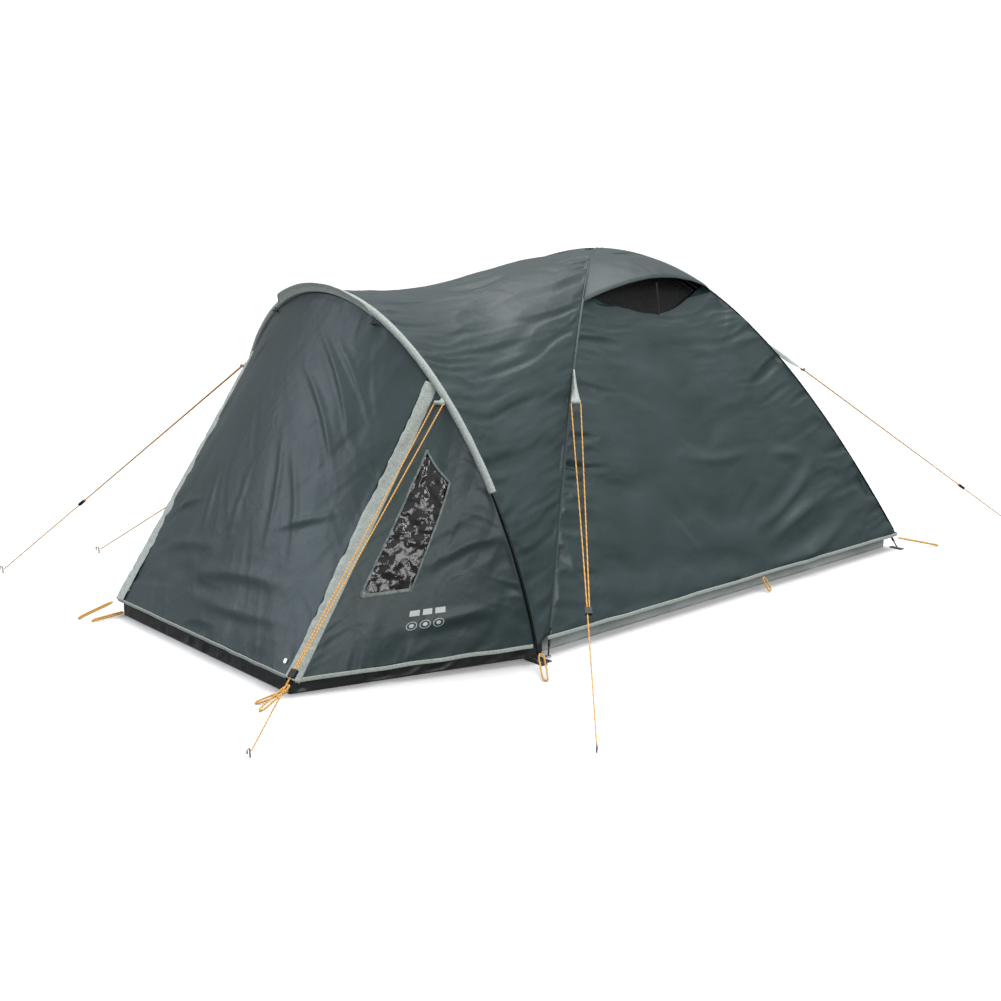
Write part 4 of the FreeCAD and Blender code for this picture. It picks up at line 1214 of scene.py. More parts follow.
# ---- Flysheet over the dome ---------------------------------------------------------
@dataclass
class DomeFly:
    """Side panels, rear panel and the two roof vents."""

    tent: Tent
    top: float = 0.002
    hinge: float = 0.12
    rim: float = 0.35
    open_degrees: float = 20.0
    hinge_x: float = 0.09644
    hinge_z: float = 1.18536
    vent_lift: float = 0.005
    mouth_edge: float = 0.325
    mouth_droop: float = 0.068
    mouth_dip: float = 0.018
    blend_width: float = 0.06

    def side_layers(self) -> list[Layer]:
        """Folds of a side panel: gathers along both poles and soft ones in its middle."""
        folds = [
            Fold((0.14, 0.86), (0.56, 0.80), 0.022, 0.012, 0.02),
            Fold((0.20, 0.93), (0.60, 0.94), 0.024, 0.015, -0.02),
            Fold((0.16, 1.02), (0.52, 1.04), 0.026, 0.014, 0.02),
            Fold((0.24, 1.12), (0.66, 1.07), 0.022, 0.013, -0.02),
            Fold((0.10, 1.22), (0.40, 1.08), 0.024, 0.013, 0.01),
            Fold((0.30, 1.28), (0.70, 1.24), 0.020, 0.010),
            Fold((0.34, 0.66), (0.50, 0.74), 0.018, 0.009),
            Fold((-0.04, 0.94), (0.06, 1.22), 0.030, 0.010, 0.03),
            Fold((-0.14, 0.56), (0.20, 0.60), 0.018, 0.007),
            Fold((-0.30, 0.78), (-0.20, 0.90), 0.016, 0.005),
            Fold((-0.52, 1.10), (-0.40, 1.30), 0.020, 0.006),
        ]
        return folds + [
            Ripple(4, 0.095, 2.6, 0.0085, 11, 0.2),
            Ripple(-22, 0.055, 3.0, 0.0030, 12, 0.3),
            Ripple(48, 0.040, 3.5, 0.0013, 13, 0.4),
            Ripple(-14, 0.024, 5.0, 0.0220, 14, 0.6, Edge.LEFT, 0.15),
            Ripple(14, 0.027, 7.0, 0.0220, 15, 0.55, Edge.RIGHT, 0.25),
            Ripple(80, 0.032, 4.0, 0.0040, 16, 0.5, Edge.HEAD, 0.08),
        ]

    def side_cloth(self, hand: Hand) -> Cloth:
        """The side panel below the vent's mouth."""
        hem = TENT.hem_share(TENT.hem_height)
        across = np.linspace(-1, 1, 201)[:, None]
        mouth = self.mouth_edge + self.mouth_droop * np.cos(np.pi / 2 * across) ** 1.2
        mouth = mouth + self.mouth_dip * np.exp(-((across / 0.38) ** 2))
        down = mouth + (hem - mouth) * np.linspace(0, 1, 150)[None] ** 1.05
        points = TENT.side_point(across, down)
        # The mouth stands off a little in front of the foot of its strut.
        stand = np.exp(-((down - mouth) / 0.09) ** 2) * np.exp(-((across / 0.35) ** 2))
        points[..., 0] += 0.006 * stand
        points[..., 2] += 0.003 * stand
        return Cloth("flysheet_side_" + hand.word, handed(points, hand), DOME_INSIDE, self.side_layers(),
                     pinned=(Edge.LEFT, Edge.RIGHT, Edge.HEAD))

    def cap_cloth(self, hand: Hand) -> Cloth:
        """The panel's top, from the ridge down to the vent's hinge line."""
        across = np.linspace(-1, 1, 61)[:, None]
        down = np.linspace(self.top, self.hinge + 0.004, 26)[None]
        lift = self.vent_lift * ease(down / self.hinge) * (1 - np.abs(across) ** 3)
        return Cloth("flysheet_cap_" + hand.word, handed(TENT.side_point(across, down), hand),
                     DOME_INSIDE, [Ripple(0, 0.03, 4, 0.0012, 21)],
                     lift=np.broadcast_to(lift, (61, 26)), pin_width=0.03)

    def hood_points(self, across: Array, down: Array) -> Array:
        """The vent's hood, raised about its hinge between the two poles."""
        points = TENT.side_point(across, down)
        slope = -TENT.height * (np.pi / 4 * np.sin(np.pi * down / 2) + down)
        out = unit(place(-slope, 0.0, TENT.half_width + np.zeros_like(slope)))
        arc = np.cos(np.pi / 2 * np.clip(np.abs(across), 0, 1)) ** 0.72
        points = points + out * (self.vent_lift * (0.35 + 0.65 * arc))[..., None]
        turn = np.radians(self.open_degrees) * arc * ease((down - self.hinge) / 0.10 + 0.18)
        x, z = points[..., 0] - self.hinge_x, points[..., 2] - self.hinge_z
        turned_x = x * np.cos(turn) - z * np.sin(turn)
        turned_z = x * np.sin(turn) + z * np.cos(turn)
        return place(self.hinge_x + turned_x, points[..., 1], self.hinge_z + turned_z)

    def hood_cloth(self, hand: Hand, half: int) -> Cloth:
        """Half of a hood, rear (1) or front (-1), out to the pole."""
        share = np.linspace(0, 1, 81)[:, None] if half > 0 else np.linspace(-1, 0, 81)[:, None]
        down = np.linspace(self.hinge, self.rim, 56)[None] + np.zeros_like(share)
        points = self.hood_points(share + np.zeros_like(down), down)
        # The rim is turned under as a narrow hem.
        fold = ease((down - self.rim + 0.012) / 0.012)
        points[..., 2] -= 0.006 * fold
        flat_y = points[..., 1] - TENT.centre_y
        lie = 0.0026 * soft_noise(flat_y / 0.05, down / 0.05, 31) * (1 - np.abs(share))
        lie = lie + 0.0035 * soft_noise(flat_y / 0.11, down / 0.30, 32) * (1 - np.abs(share))
        name = f"vent_hood_{hand.word}_{'rear' if half > 0 else 'front'}"
        return Cloth(name, handed(points, hand), DOME_INSIDE, (), pinned=(), lift=lie)

    def rear_cloth(self) -> Cloth:
        """The rear panel, from the top down to the hem."""
        hem = TENT.hem_share(TENT.hem_height)
        across, down = np.linspace(-1, 1, 151)[:, None], np.linspace(self.top, hem, 150)[None]
        layers = [
            Ripple(5, 0.085, 3.0, 0.0055, 51, 0.25),
            Ripple(64, 0.055, 4.0, 0.0026, 52, 0.4),
            Ripple(35, 0.026, 6.0, 0.0042, 53, 0.5, Edge.LEFT, 0.16),
            Ripple(-35, 0.026, 6.0, 0.0042, 54, 0.5, Edge.RIGHT, 0.16),
            Ripple(88, 0.034, 4.0, 0.0030, 55, 0.5, Edge.HEAD, 0.10),
            Fold((-0.30, 0.80), (0.10, 0.92), 0.030, 0.009, 0.02),
            Fold((0.36, 0.86), (0.02, 1.08), 0.030, 0.008, 0.02),
            Fold((-0.42, 1.12), (-0.05, 1.22), 0.026, 0.007),
        ]
        points = TENT.end_point(across, down, 1)
        return Cloth("flysheet_rear", points, DOME_INSIDE, layers,
                     pinned=(Edge.LEFT, Edge.RIGHT))

    def net_cloth(self, hand: Hand) -> Cloth:
        """Insect net behind the vent's mouth."""
        share = np.linspace(-0.93, 0.93, 44)[:, None]
        down = np.linspace(0.13, 0.45, 28)[None]
        points = TENT.side_point(share, down + np.zeros_like(share), 0.012)
        points = points - np.array([0.012, 0.0, 0.012])
        return Cloth("vent_net_" + hand.word, handed(points, hand), DOME_INSIDE,
                     [Ripple(10, 0.08, 2, 0.003, 61)], pinned=())

    def seam_tube(self, side_x: int, side_y: int) -> bpy.types.Object:
        """Felled seam over a dome pole, a low ridge with the stitches puckering it."""
        down = np.linspace(0.01, 0.962, 190)
        lie = 0.0008 * np.sin(down * 700) + 0.0006 * soft_noise(down * 60, down * 0, 71)
        path = place(side_x * TENT.half_width * down, TENT.centre_y + side_y * TENT.half_length * down,
                     TENT.height * TENT.arch(down) + 0.0002 + lie * 0.3)
        out = unit(path - np.array([0.0, TENT.centre_y, 0.2]))
        sizes = np.stack([1 + 0.12 * np.sin(down * 420), np.ones_like(down)], -1)
        return swept(f"pole_seam_{side_x}_{side_y}", path, rounded_section(0.0058, 0.0015), out, sizes)

    def build(self) -> None:
        """Makes the dome's cloth."""
        finishes = self.tent.finishes
        for hand in Hand:
            word = hand.word
            nodes = ["fly_side_" + word]
            side = self.tent.lay_sheet(self.side_cloth(hand), finishes.fly, "flysheet", nodes, DOME_POLES)
            self.tent.lay_sheet(self.cap_cloth(hand), finishes.fly, "flysheet", nodes, DOME_POLES)
            self.build_hood(hand)
            self.tent.lay_sheet(self.net_cloth(hand), finishes.net, "mesh", ["vent_mesh"], [side.name],
                                thickness=FILM_THICKNESS)
            self.tent.dress_nodes(finishes.plastic, "vent_strut_" + word)
        self.tent.lay_sheet(self.rear_cloth(), finishes.fly, "flysheet", ["fly_rear"], DOME_POLES)
        seams = [self.seam_tube(x, y) for x in (1, -1) for y in (1, -1)]
        self.tent.settle(joined("dome_pole_seams", seams), finishes.fly, "flysheet")

    def build_hood(self, hand: Hand) -> None:
        """Makes both halves of a hood, out to the poles and set open about the hinge."""
        body = "vent_hood_" + hand.word
        for half in (1, -1):
            cloth = self.hood_cloth(hand, half)
            item = dress(cloth.build(), self.tent.finishes.fly)
            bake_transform(item)
            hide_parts(body)
            self.tent.report(item)


# ---- Flysheet over the porch --------------------------------------------------------
@dataclass
class Porch:
    """Roof tunnel, porch sides with their windows, and the door."""

    tent: Tent
    hinge_z: float = 0.84
    hinge_y: float = -0.99638
    flap_width: float = 0.040
    flap_over: tuple[float, float] = (0.005, 0.046)
    flap_lift: float = 0.010
    sleeve_radius: float = 0.0118
    sleeve_end_x: float = 0.697
    brow_half: float = 0.262
    brow_shape: tuple[Point, ...] = ((0.009, -0.0135, 0.0), (-0.006, -0.0175, 0.5), (-0.020, -0.0245, 1.0))
    inside: Point = (0.0, -0.7, 0.3)
    print_stand_off: float = 0.04
    ink_gap: float = 0.0011

    def tunnel_cloth(self) -> Cloth:
        """The roof from the dome's front seams to the hoop."""
        share = np.linspace(0, 1, 121)[:, None]
        turn = TENT.tunnel_turn * np.linspace(-1, 1, 341)[None]
        layers = [
            Ripple(0, 0.030, 9.0, 0.0170, 101, 0.5, Edge.RIGHT, 0.42),
            Ripple(2, 0.019, 12.0, 0.0080, 102, 0.6, Edge.RIGHT, 0.22),
            Ripple(-6, 0.022, 6.0, 0.0120, 103, 0.6, Edge.LEFT, 0.14),
            Ripple(0, 0.060, 5.0, 0.0080, 104, 0.35),
            Ripple(-38, 0.040, 4.0, 0.0016, 105, 0.5),
        ]
        return Cloth("flysheet_tunnel", TENT.tunnel_point(share, turn), (0.0, -0.3, 0.3), layers,
                     pinned=(Edge.LEFT, Edge.RIGHT), even=True)

    def door_cloth(self) -> Cloth:
        """The door in one piece, from the hem up to the hoop."""
        share, up = 0.996 * np.linspace(-1, 1, 161)[:, None], np.linspace(0, 1, 191)[None]
        foot, head = TENT.door_foot(share), TENT.door_head(share)
        points = foot * (1 - up[..., None]) + head * up[..., None]
        layers = [
            Fold((0.07, 1.04), (0.36, 0.72), 0.012, 0.0055, 0.02),
            Fold((0.05, 0.92), (0.34, 0.62), 0.012, 0.0050, 0.02),
            Fold((0.16, 1.02), (0.40, 0.80), 0.011, 0.0040, 0.01),
            Fold((0.06, 0.70), (0.18, 0.34), 0.014, 0.0055, 0.015),
            Fold((0.14, 0.64), (0.30, 0.36), 0.014, 0.0040, 0.015),
            Fold((-0.04, 0.56), (-0.02, 0.34), 0.014, 0.0040),
            Fold((-0.22, 0.52), (-0.18, 0.32), 0.013, 0.0045),
            Fold((-0.30, 0.60), (-0.40, 0.30), 0.016, 0.0040, 0.01),
            Fold((-0.16, 0.17), (0.34, 0.24), 0.022, 0.0050, 0.02),
            Fold((-0.08, 0.11), (0.38, 0.14), 0.018, 0.0036, -0.01),
            Fold((-0.42, 0.20), (-0.08, 0.28), 0.020, 0.0034, 0.02),
            Fold((-0.44, 0.34), (-0.26, 0.42), 0.014, 0.0040, 0.01),
            Fold((-0.36, 0.88), (-0.24, 1.00), 0.014, 0.0030, 0.01),
            Fold((0.20, 0.40), (0.42, 0.50), 0.014, 0.0040),
            Ripple(78, 0.095, 3.0, 0.0034, 121, 0.2),
            Ripple(118, 0.046, 4.5, 0.0012, 122, 0.5),
            Ripple(55, 0.038, 5.0, 0.0009, 123, 0.5),
            Ripple(35, 0.030, 5.0, 0.0048, 124, 0.5, Edge.LEFT, 0.11),
            Ripple(-35, 0.030, 5.0, 0.0040, 125, 0.5, Edge.RIGHT, 0.10),
            Ripple(4, 0.044, 4.0, 0.0055, 126, 0.4, Edge.FOOT, 0.24),
            Ripple(88, 0.034, 4.0, 0.0026, 127, 0.5, Edge.HEAD, 0.14),
        ]
        return Cloth("door_cloth", points, self.inside, layers, pinned=(Edge.LEFT, Edge.RIGHT, Edge.HEAD),
                     pin_width=0.03)

    def build_door(self) -> None:
        """Makes the door and its hem."""
        finishes = self.tent.finishes
        cloth = self.door_cloth()
        door = dress(cloth.build(), finishes.fly)
        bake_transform(door)
        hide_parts("door_panel", "fly_door_arch")
        self.tent.report(door)
        share = np.linspace(-0.99, 0.99, 160)
        path = TENT.door_foot(share) + place(0.0, -0.0025, 0.0012 * soft_noise(share * 9, share * 0, 131))
        hem = swept("door_hem_tape", path, rounded_section(0.0018, 0.0064, 14, 0.6),
                    np.array([0.0, -0.15, 1.0]))
        self.tent.settle(hem, finishes.trim, "pale_trim", ["door_hem"], "door")
        self.tent.dress_nodes(finishes.stud, "snap_studs")

    def window_grid(self) -> tuple[Array, Array, tuple[int, int, int, int]]:
        """Lays a porch side out in nine blocks, with the window as the middle one.

        Returns:
            How far up and how far out each grid point is, and the window's first and last
            rows and columns.
        """
        knots = np.array([0.0, 1.0, 1.25, 1.5, 1.75, 2.0, 3.0])
        ups = np.array([[0.0, 0.25, 0.375, 0.50, 0.625, 0.74, 0.985],
                        [0.0, 0.26, 0.39, 0.515, 0.64, 0.755, 0.985],
                        [0.0, 0.26, 0.35, 0.44, 0.535, 0.625, 0.985],
                        [0.0, 0.28, 0.365, 0.45, 0.535, 0.62, 0.985]])
        outs = np.array([[0.0, 0.0, 0.0, 0.0, 0.0, 0.0, 0.0],
                         [0.18, 0.14, 0.165, 0.21, 0.265, 0.36, 0.40],
                         [0.45, 0.415, 0.45, 0.50, 0.57, 0.65, 0.70],
                         [1.0, 1.0, 1.0, 1.0, 1.0, 1.0, 1.0]])
        across_counts, up_counts = (28, 22, 50), (34, 60, 40)
        a = np.concatenate([np.linspace(i, i + 1, n, endpoint=False) for i, n in enumerate(across_counts)])
        b = np.concatenate([np.linspace(i, i + 1, n, endpoint=False) for i, n in enumerate(up_counts)])
        a, b = np.append(a, 3.0), np.append(b, 3.0)
        row = np.minimum(a.astype(int), 2)
        beside = (a - row)[:, None]

        def spread(lines: Array) -> Array:
            """Fills in one coordinate between the four lines that run up the panel."""
            drawn = np.stack([np.interp(b, knots, line) for line in lines])
            return drawn[row] * (1 - beside) + drawn[row + 1] * beside

        edges = (across_counts[0], sum(across_counts[:2]), up_counts[0], sum(up_counts[:2]))
        return spread(ups), spread(outs), edges

    def side_layers(self) -> list[Layer]:
        """Folds of a porch side."""
        return [
            Ripple(70, 0.060, 3.0, 0.0046, 141, 0.3),
            Ripple(20, 0.045, 4.0, 0.0022, 142, 0.4),
            Ripple(-20, 0.028, 5.0, 0.0060, 143, 0.55, Edge.RIGHT, 0.12),
            Ripple(30, 0.030, 5.0, 0.0036, 144, 0.5, Edge.LEFT, 0.08),
            Ripple(85, 0.040, 4.0, 0.0050, 145, 0.45, Edge.FOOT, 0.18),
            Fold((-0.05, 0.10), (0.26, 0.13), 0.020, 0.007, 0.01),
            Fold((0.02, 0.30), (0.22, 0.36), 0.018, 0.006, 0.01),
        ]

    def side_cloths(self, hand: Hand) -> tuple[Cloth, Cloth, Array, tuple[int, int, int, int]]:
        """A porch side with its window cut out, the window's film, and the creased grid."""
        up, out, edges = self.window_grid()
        points = handed(TENT.door_side_point(up, out), hand)
        keep = np.ones((points.shape[0] - 1, points.shape[1] - 1), bool)
        keep[edges[0]:edges[1], edges[2]:edges[3]] = False
        cloth = Cloth("porch_side_" + hand.word, points, self.inside, self.side_layers(),
                      pinned=(Edge.LEFT, Edge.RIGHT), keep=keep)
        grid = cloth.creased()
        window = (slice(edges[0] - 1, edges[1] + 2), slice(edges[2] - 1, edges[3] + 2))
        film_grid = grid[window]
        normals = grid_normals(film_grid, np.array(self.inside))
        flat = cloth.flat_place()
        x, y = flat.across[window], flat.along[window]
        crumple = np.zeros_like(x)
        draw = np.random.default_rng(151)
        for _ in range(9):
            turn, size = draw.uniform(0, np.pi), draw.uniform(0.025, 0.07)
            run = (x * math.cos(turn) + y * math.sin(turn)) / size + draw.uniform(0, 1)
            run = run + 0.35 * soft_noise(x / 0.05, y / 0.05, int(draw.integers(1000)))
            crumple = crumple + np.abs(run - np.round(run)) * size * 0.065
        film = Cloth("window_" + hand.word, film_grid - normals * 0.0014, self.inside, (),
                     pinned=(), lift=-crumple + crumple.min())
        return cloth, film, grid, edges

    def window_binding(self, hand: Hand, grid: Array, edges: tuple[int, int, int, int]) -> bpy.types.Object:
        """Folded binding stitched round the window."""
        low, high, foot, head = edges
        normals = grid_normals(grid, np.array(self.inside))
        up, across = slice(foot, head + 1), slice(low, high + 1)
        spots = ((low, up), (high, up), (across, foot), (across, head))
        lines = [(grid[spot], normals[spot]) for spot in spots]
        strips = []
        for index, (path, ups) in enumerate(lines):
            wide = 0.0056 if index == 2 else 0.0034
            strips.append(swept(f"binding_{hand.word}_{index}", path + ups * 0.0006,
                                rounded_section(wide, 0.0011, 12, 0.7), ups))
        return joined("window_binding_" + hand.word, strips)

    def print_marks(self) -> bpy.types.Object:
        """A plain printed mark: three short bars over three rings with dots."""
        marks = []

        def patch(name: str, up: Array, out: Array, closed: bool = False) -> bpy.types.Object:
            """One flat patch of ink over the porch side."""
            base = TENT.door_side_point(up, out) + TENT.door_edge().face * self.print_stand_off
            return grid_object(name, base, (out, up), flip=True, closed=closed)

        for index, (start, end) in enumerate(((0.425, 0.475), (0.49, 0.535), (0.55, 0.60))):
            out = np.linspace(start, end, 12)[:, None] + np.zeros((1, 6))
            up = 0.166 + 0.020 * np.linspace(0, 1, 6)[None] + np.zeros((12, 1))
            marks.append(patch(f"bar_{index}", up, out))
        turn = np.linspace(0, 2 * np.pi, 40, endpoint=False)[None]
        for index, centre in enumerate((0.443, 0.506, 0.569)):
            for kind, radii in (("ring", (0.0205, 0.0178)), ("dot", (0.0090, 0.0004))):
                size = np.array(radii)[:, None]
                up, out = 0.133 + size * np.sin(turn) * 0.72, centre + size * np.cos(turn) * 1.25
                marks.append(patch(f"{kind}_{index}", up, out, closed=True))
        return joined("porch_print", marks)

    def flap_cloth(self, hand: Hand) -> Cloth:
        """Pale storm flap over a door zip, sewn on its outer side."""
        edge = TENT.door_edge()
        over = self.flap_over[0 if hand is Hand.RIGHT else 1]
        up = np.linspace(-0.002, edge.length - 0.012, 170)[None]
        share = np.linspace(0, 1, 22)[:, None]
        free = 1 - share
        wave = 0.0030 * soft_noise(up / 0.060, up * 0, 161) + 0.0018 * soft_noise(up / 0.022, up * 0, 162)
        inward = unit(TENT.door_foot(-1.0) - TENT.door_foot(1.0))
        front = unit(np.cross(edge.way, inward))
        front = front if front[1] < 0 else -front
        # It is sewn on the porch side, stands over the zip, and folds round on to the door.
        reach = self.flap_width - free * (over + self.flap_width) + 1.2 * wave * free
        past = np.maximum(-reach, 0.0)
        beside = np.maximum(reach, 0.0)
        off = self.flap_lift * np.clip(1.15 - beside / self.flap_width, 0, 1) ** 0.5
        bend = np.clip(past / over, 0, 1)
        base = edge.point(up + np.zeros_like(share), beside, off * (1 - 0.35 * bend))
        points = base + past[..., None] * inward + (0.35 * off * bend)[..., None] * front
        points = handed(points, hand)
        return Cloth("storm_flap_" + hand.word, points, self.inside,
                     [Ripple(0, 0.018, 3, 0.0016, 163), Ripple(70, 0.020, 3, 0.0010, 164)],
                     pinned=(Edge.RIGHT,), pin_width=0.012)

    def sleeve(self) -> bpy.types.Object:
        """Cloth sleeve over the porch pole, puckered by its stitching."""
        end = math.degrees(math.asin(self.sleeve_end_x / TENT.hoop_half_width))
        angle = np.linspace(-end, end, 420)
        path = TENT.hoop_point(angle)
        pucker = 0.05 * np.sin(angle * 9.0) + 0.06 * soft_noise(angle / 1.6, angle * 0, 171)
        out = unit(path - np.array([0.0, TENT.hoop_foot_y - 0.1, 0.1]))
        sizes = np.stack([1 + pucker, 1 + 0.5 * pucker], -1)
        return swept("hoop_sleeve_cloth", path, rounded_section(self.sleeve_radius, self.sleeve_radius, 20),
                     out, sizes)

    def brow_cloth(self) -> Cloth:
        """Wider pale brow over the top of the door."""
        end = math.degrees(math.asin(self.brow_half / TENT.hoop_half_width))
        angle = np.linspace(-end, end, 140)[:, None]
        share = np.linspace(0, 1, 16)[None]
        insets = np.interp(share[0], [0, 0.5, 1], [shape[0] for shape in self.brow_shape])
        shifts = np.interp(share[0], [0, 0.5, 1], [shape[1] for shape in self.brow_shape])
        # Its ends are cut back to the sleeve.
        full = ease((1 - np.abs(angle) / end) / 0.16 + 0.25)
        insets = insets[0] + (insets[None] - insets[0]) * full
        shifts = shifts[0] + (shifts[None] - shifts[0]) * full
        points = TENT.hoop_point(angle + np.zeros_like(share), insets, shifts)
        return Cloth("brow_cloth", points, (0.0, 0.0, 0.9),
                     [Ripple(90, 0.022, 3, 0.0014, 181), Ripple(0, 0.03, 3, 0.0012, 182)],
                     pinned=(Edge.FOOT,), pin_width=0.01)

    def hem_tape(self, name: str, path: Array, seed: int) -> bpy.types.Object:
        """Folded binding along a lower edge."""
        run = chord_lengths(path[:, None], 0)[:, 0]
        lie = place(0.0, 0.0, 0.0016 * soft_noise(run / 0.09, run * 0, seed))
        return swept(name, path + lie, rounded_section(0.0017, 0.0064, 14, 0.6), UP)

    def hems(self) -> bpy.types.Object:
        """All the fixed lower edges, bound with pale tape."""
        hem = TENT.hem_share(TENT.hem_height)
        x, reach = TENT.half_width * hem + 0.0024, TENT.half_length * hem
        run = np.linspace(0, 1, 220)
        front, rear = TENT.centre_y - reach - 0.008, TENT.centre_y + reach
        side = place(x, front + (rear - front) * run, TENT.hem_height)
        back = place(x * (2 * run - 1), rear + 0.0024, TENT.hem_height)
        porch = TENT.door_side_point(np.zeros(160), np.linspace(0.0, 0.992, 160))
        out = unit(np.cross(porch[-1] - porch[0], UP))
        porch = porch + out * 0.0022
        paths = {"side_right": side, "side_left": mirrored(side), "rear": back, "porch_right": porch,
                 "porch_left": mirrored(porch)}
        tapes = [self.hem_tape("hem_" + name, path, seed)
                 for seed, (name, path) in enumerate(paths.items(), start=191)]
        return joined("hem_tapes", tapes)

    def build(self) -> None:
        """Makes the porch's cloth."""
        tent, finishes = self.tent, self.tent.finishes
        tent.lay_sheet(self.tunnel_cloth(), finishes.fly, "flysheet", ["fly_tunnel"],
                       [*DOME_POLES, "porch_pole"])
        self.build_door()
        for hand in Hand:
            cloth, film, grid, edges = self.side_cloths(hand)
            side = tent.lay_sheet(cloth, finishes.fly, "flysheet", ["fly_porch_side_" + hand.word],
                                  ["porch_pole"])
            tent.lay_sheet(film, finishes.vinyl, "window_film", ["windows"], [side.name],
                           thickness=FILM_THICKNESS)
            tent.settle(self.window_binding(hand, grid, edges), finishes.binding, "flysheet")
            tent.lay_sheet(self.flap_cloth(hand), finishes.trim, "pale_trim", ["storm_flaps"], [side.name],
                           thickness=TRIM_THICKNESS)
            tent.dress_nodes(finishes.zip_metal, "zip_slider_" + hand.word)
        tent.dress_nodes(finishes.zip_tape, "door_zips")
        tent.dress_nodes(finishes.plastic, "door_toggles")
        marks = self.print_marks()
        lay_on(marks, "porch_side_right", self.ink_gap)
        tent.settle(marks, finishes.ink, "pale_trim")
        tent.settle(self.sleeve(), finishes.trim, "pale_trim", ["hoop_sleeve"])
        tent.lay_sheet(self.brow_cloth(), finishes.trim, "pale_trim", ["brow_band"], ["hoop_sleeve_cloth"],
                       thickness=TRIM_THICKNESS)
        tent.settle(self.hems(), finishes.trim, "pale_trim", ["hem_binding"])


def lay_on(item: bpy.types.Object, cloth_name: str, gap: float) -> None:
    """Moves a flat piece onto the creased cloth under it.

    Args:
        item: The piece.
        cloth_name: The cloth's name.
        gap: How far above the cloth it lies.
    """
    cloth = bpy.data.objects[cloth_name]
    way = Vector(-TENT.door_edge().face)
    for vertex in item.data.vertices:
        found, spot, _, _ = cloth.ray_cast(vertex.co, way)
        if found:
            vertex.co = spot - way * gap


# ---- Poles and their fittings -------------------------------------------------------
@dataclass
class Poles:
    """Poles, ferrules, clips and corner fittings, which keep their CAD shapes."""

    tent: Tent

    def build(self) -> None:
        """Dresses the hard parts."""
        finishes, dress_nodes = self.tent.finishes, self.tent.dress_nodes
        dress_nodes(finishes.fibreglass, "dome_pole_a", "dome_pole_b", "porch_pole")
        dress_nodes(finishes.dark_steel, "pole_ferrules", "pole_tips")
        dress_nodes(finishes.steel, "corner_rings")
        dress_nodes(finishes.plastic, "pole_clips")
        dress_nodes(finishes.shock_cord, "pole_shock_cords")
        self.straps()

    def straps(self) -> None:
        """Makes the webbing at each pole foot, out to the CAD corner rings beside it."""
        rings = self.tent.frame["nodes"]["corner_rings"].data.vertices
        spots = np.array([vertex.co for vertex in rings])
        straps = []
        for side in (1, -1):
            for low, high in ((-1.0, -0.62), (-0.75, -0.45), (1.0, 1.6)):
                mine = spots[(spots[:, 0] * side > 0) & (spots[:, 1] > low) & (spots[:, 1] < high)]
                if not len(mine):
                    continue
                centre = (mine.min(0) + mine.max(0)) / 2
                run = np.linspace(0, 1, 30)
                path = place(side * 0.741 + (centre[0] + side * 0.026 - side * 0.741) * run, centre[1],
                             0.0014 + 0.0004 * np.sin(run * 9))
                straps.append(swept(f"strap_{side}_{low}", path, rounded_section(0.012, 0.0011, 14, 0.5),
                                    UP))
        self.tent.settle(joined("corner_straps", straps), self.tent.finishes.webbing, "black_webbing",
                         ["corner_webbing"])


@dataclass
class PegLoops:
    """Elastic loops that hold the hem to the ground."""

    tent: Tent
    radius: float = 0.0028
    half: float = 0.008

    def ends(self) -> list[tuple[Point, Point]]:
        """Where each right-hand loop starts and ends."""
        hem = TENT.hem_share(TENT.hem_height)
        x = TENT.half_width * hem + 0.006
        y = TENT.centre_y + TENT.half_length * hem + 0.006
        return [
            ((0.540, -1.394, 0.044), (0.566, -1.511, 0.004)),
            ((0.503, -1.376, 0.012), (0.508, -1.489, 0.004)),
            ((0.822, -0.664, 0.042), (0.930, -0.744, 0.004)),
            ((x + 0.002, 0.499, 0.050), (x + 0.034, 0.499, 0.005)),
            ((x, y, 0.044), (0.862, 1.530, 0.004)),
        ]

    def build(self) -> None:
        """Makes every loop as an endless cord."""
        for hand in Hand:
            for index, (start, end) in enumerate(self.ends()):
                a, b = handed(np.array(start), hand), handed(np.array(end), hand)
                way = unit(b - a)
                side = unit(np.cross(way, UP)) * self.half
                near, far = a + way * 0.002, b - way * 0.001
                middle = (a + b) / 2
                route = np.array([near + side, middle + side * 1.05, far + side, far - side,
                                  middle - side * 1.05, near - side])
                loop = cord_curve(f"peg_loop_{hand.word}_{index}", route, self.radius, closed=True)
                self.tent.settle(loop, self.tent.finishes.loops, "elastic", ["peg_loops"])


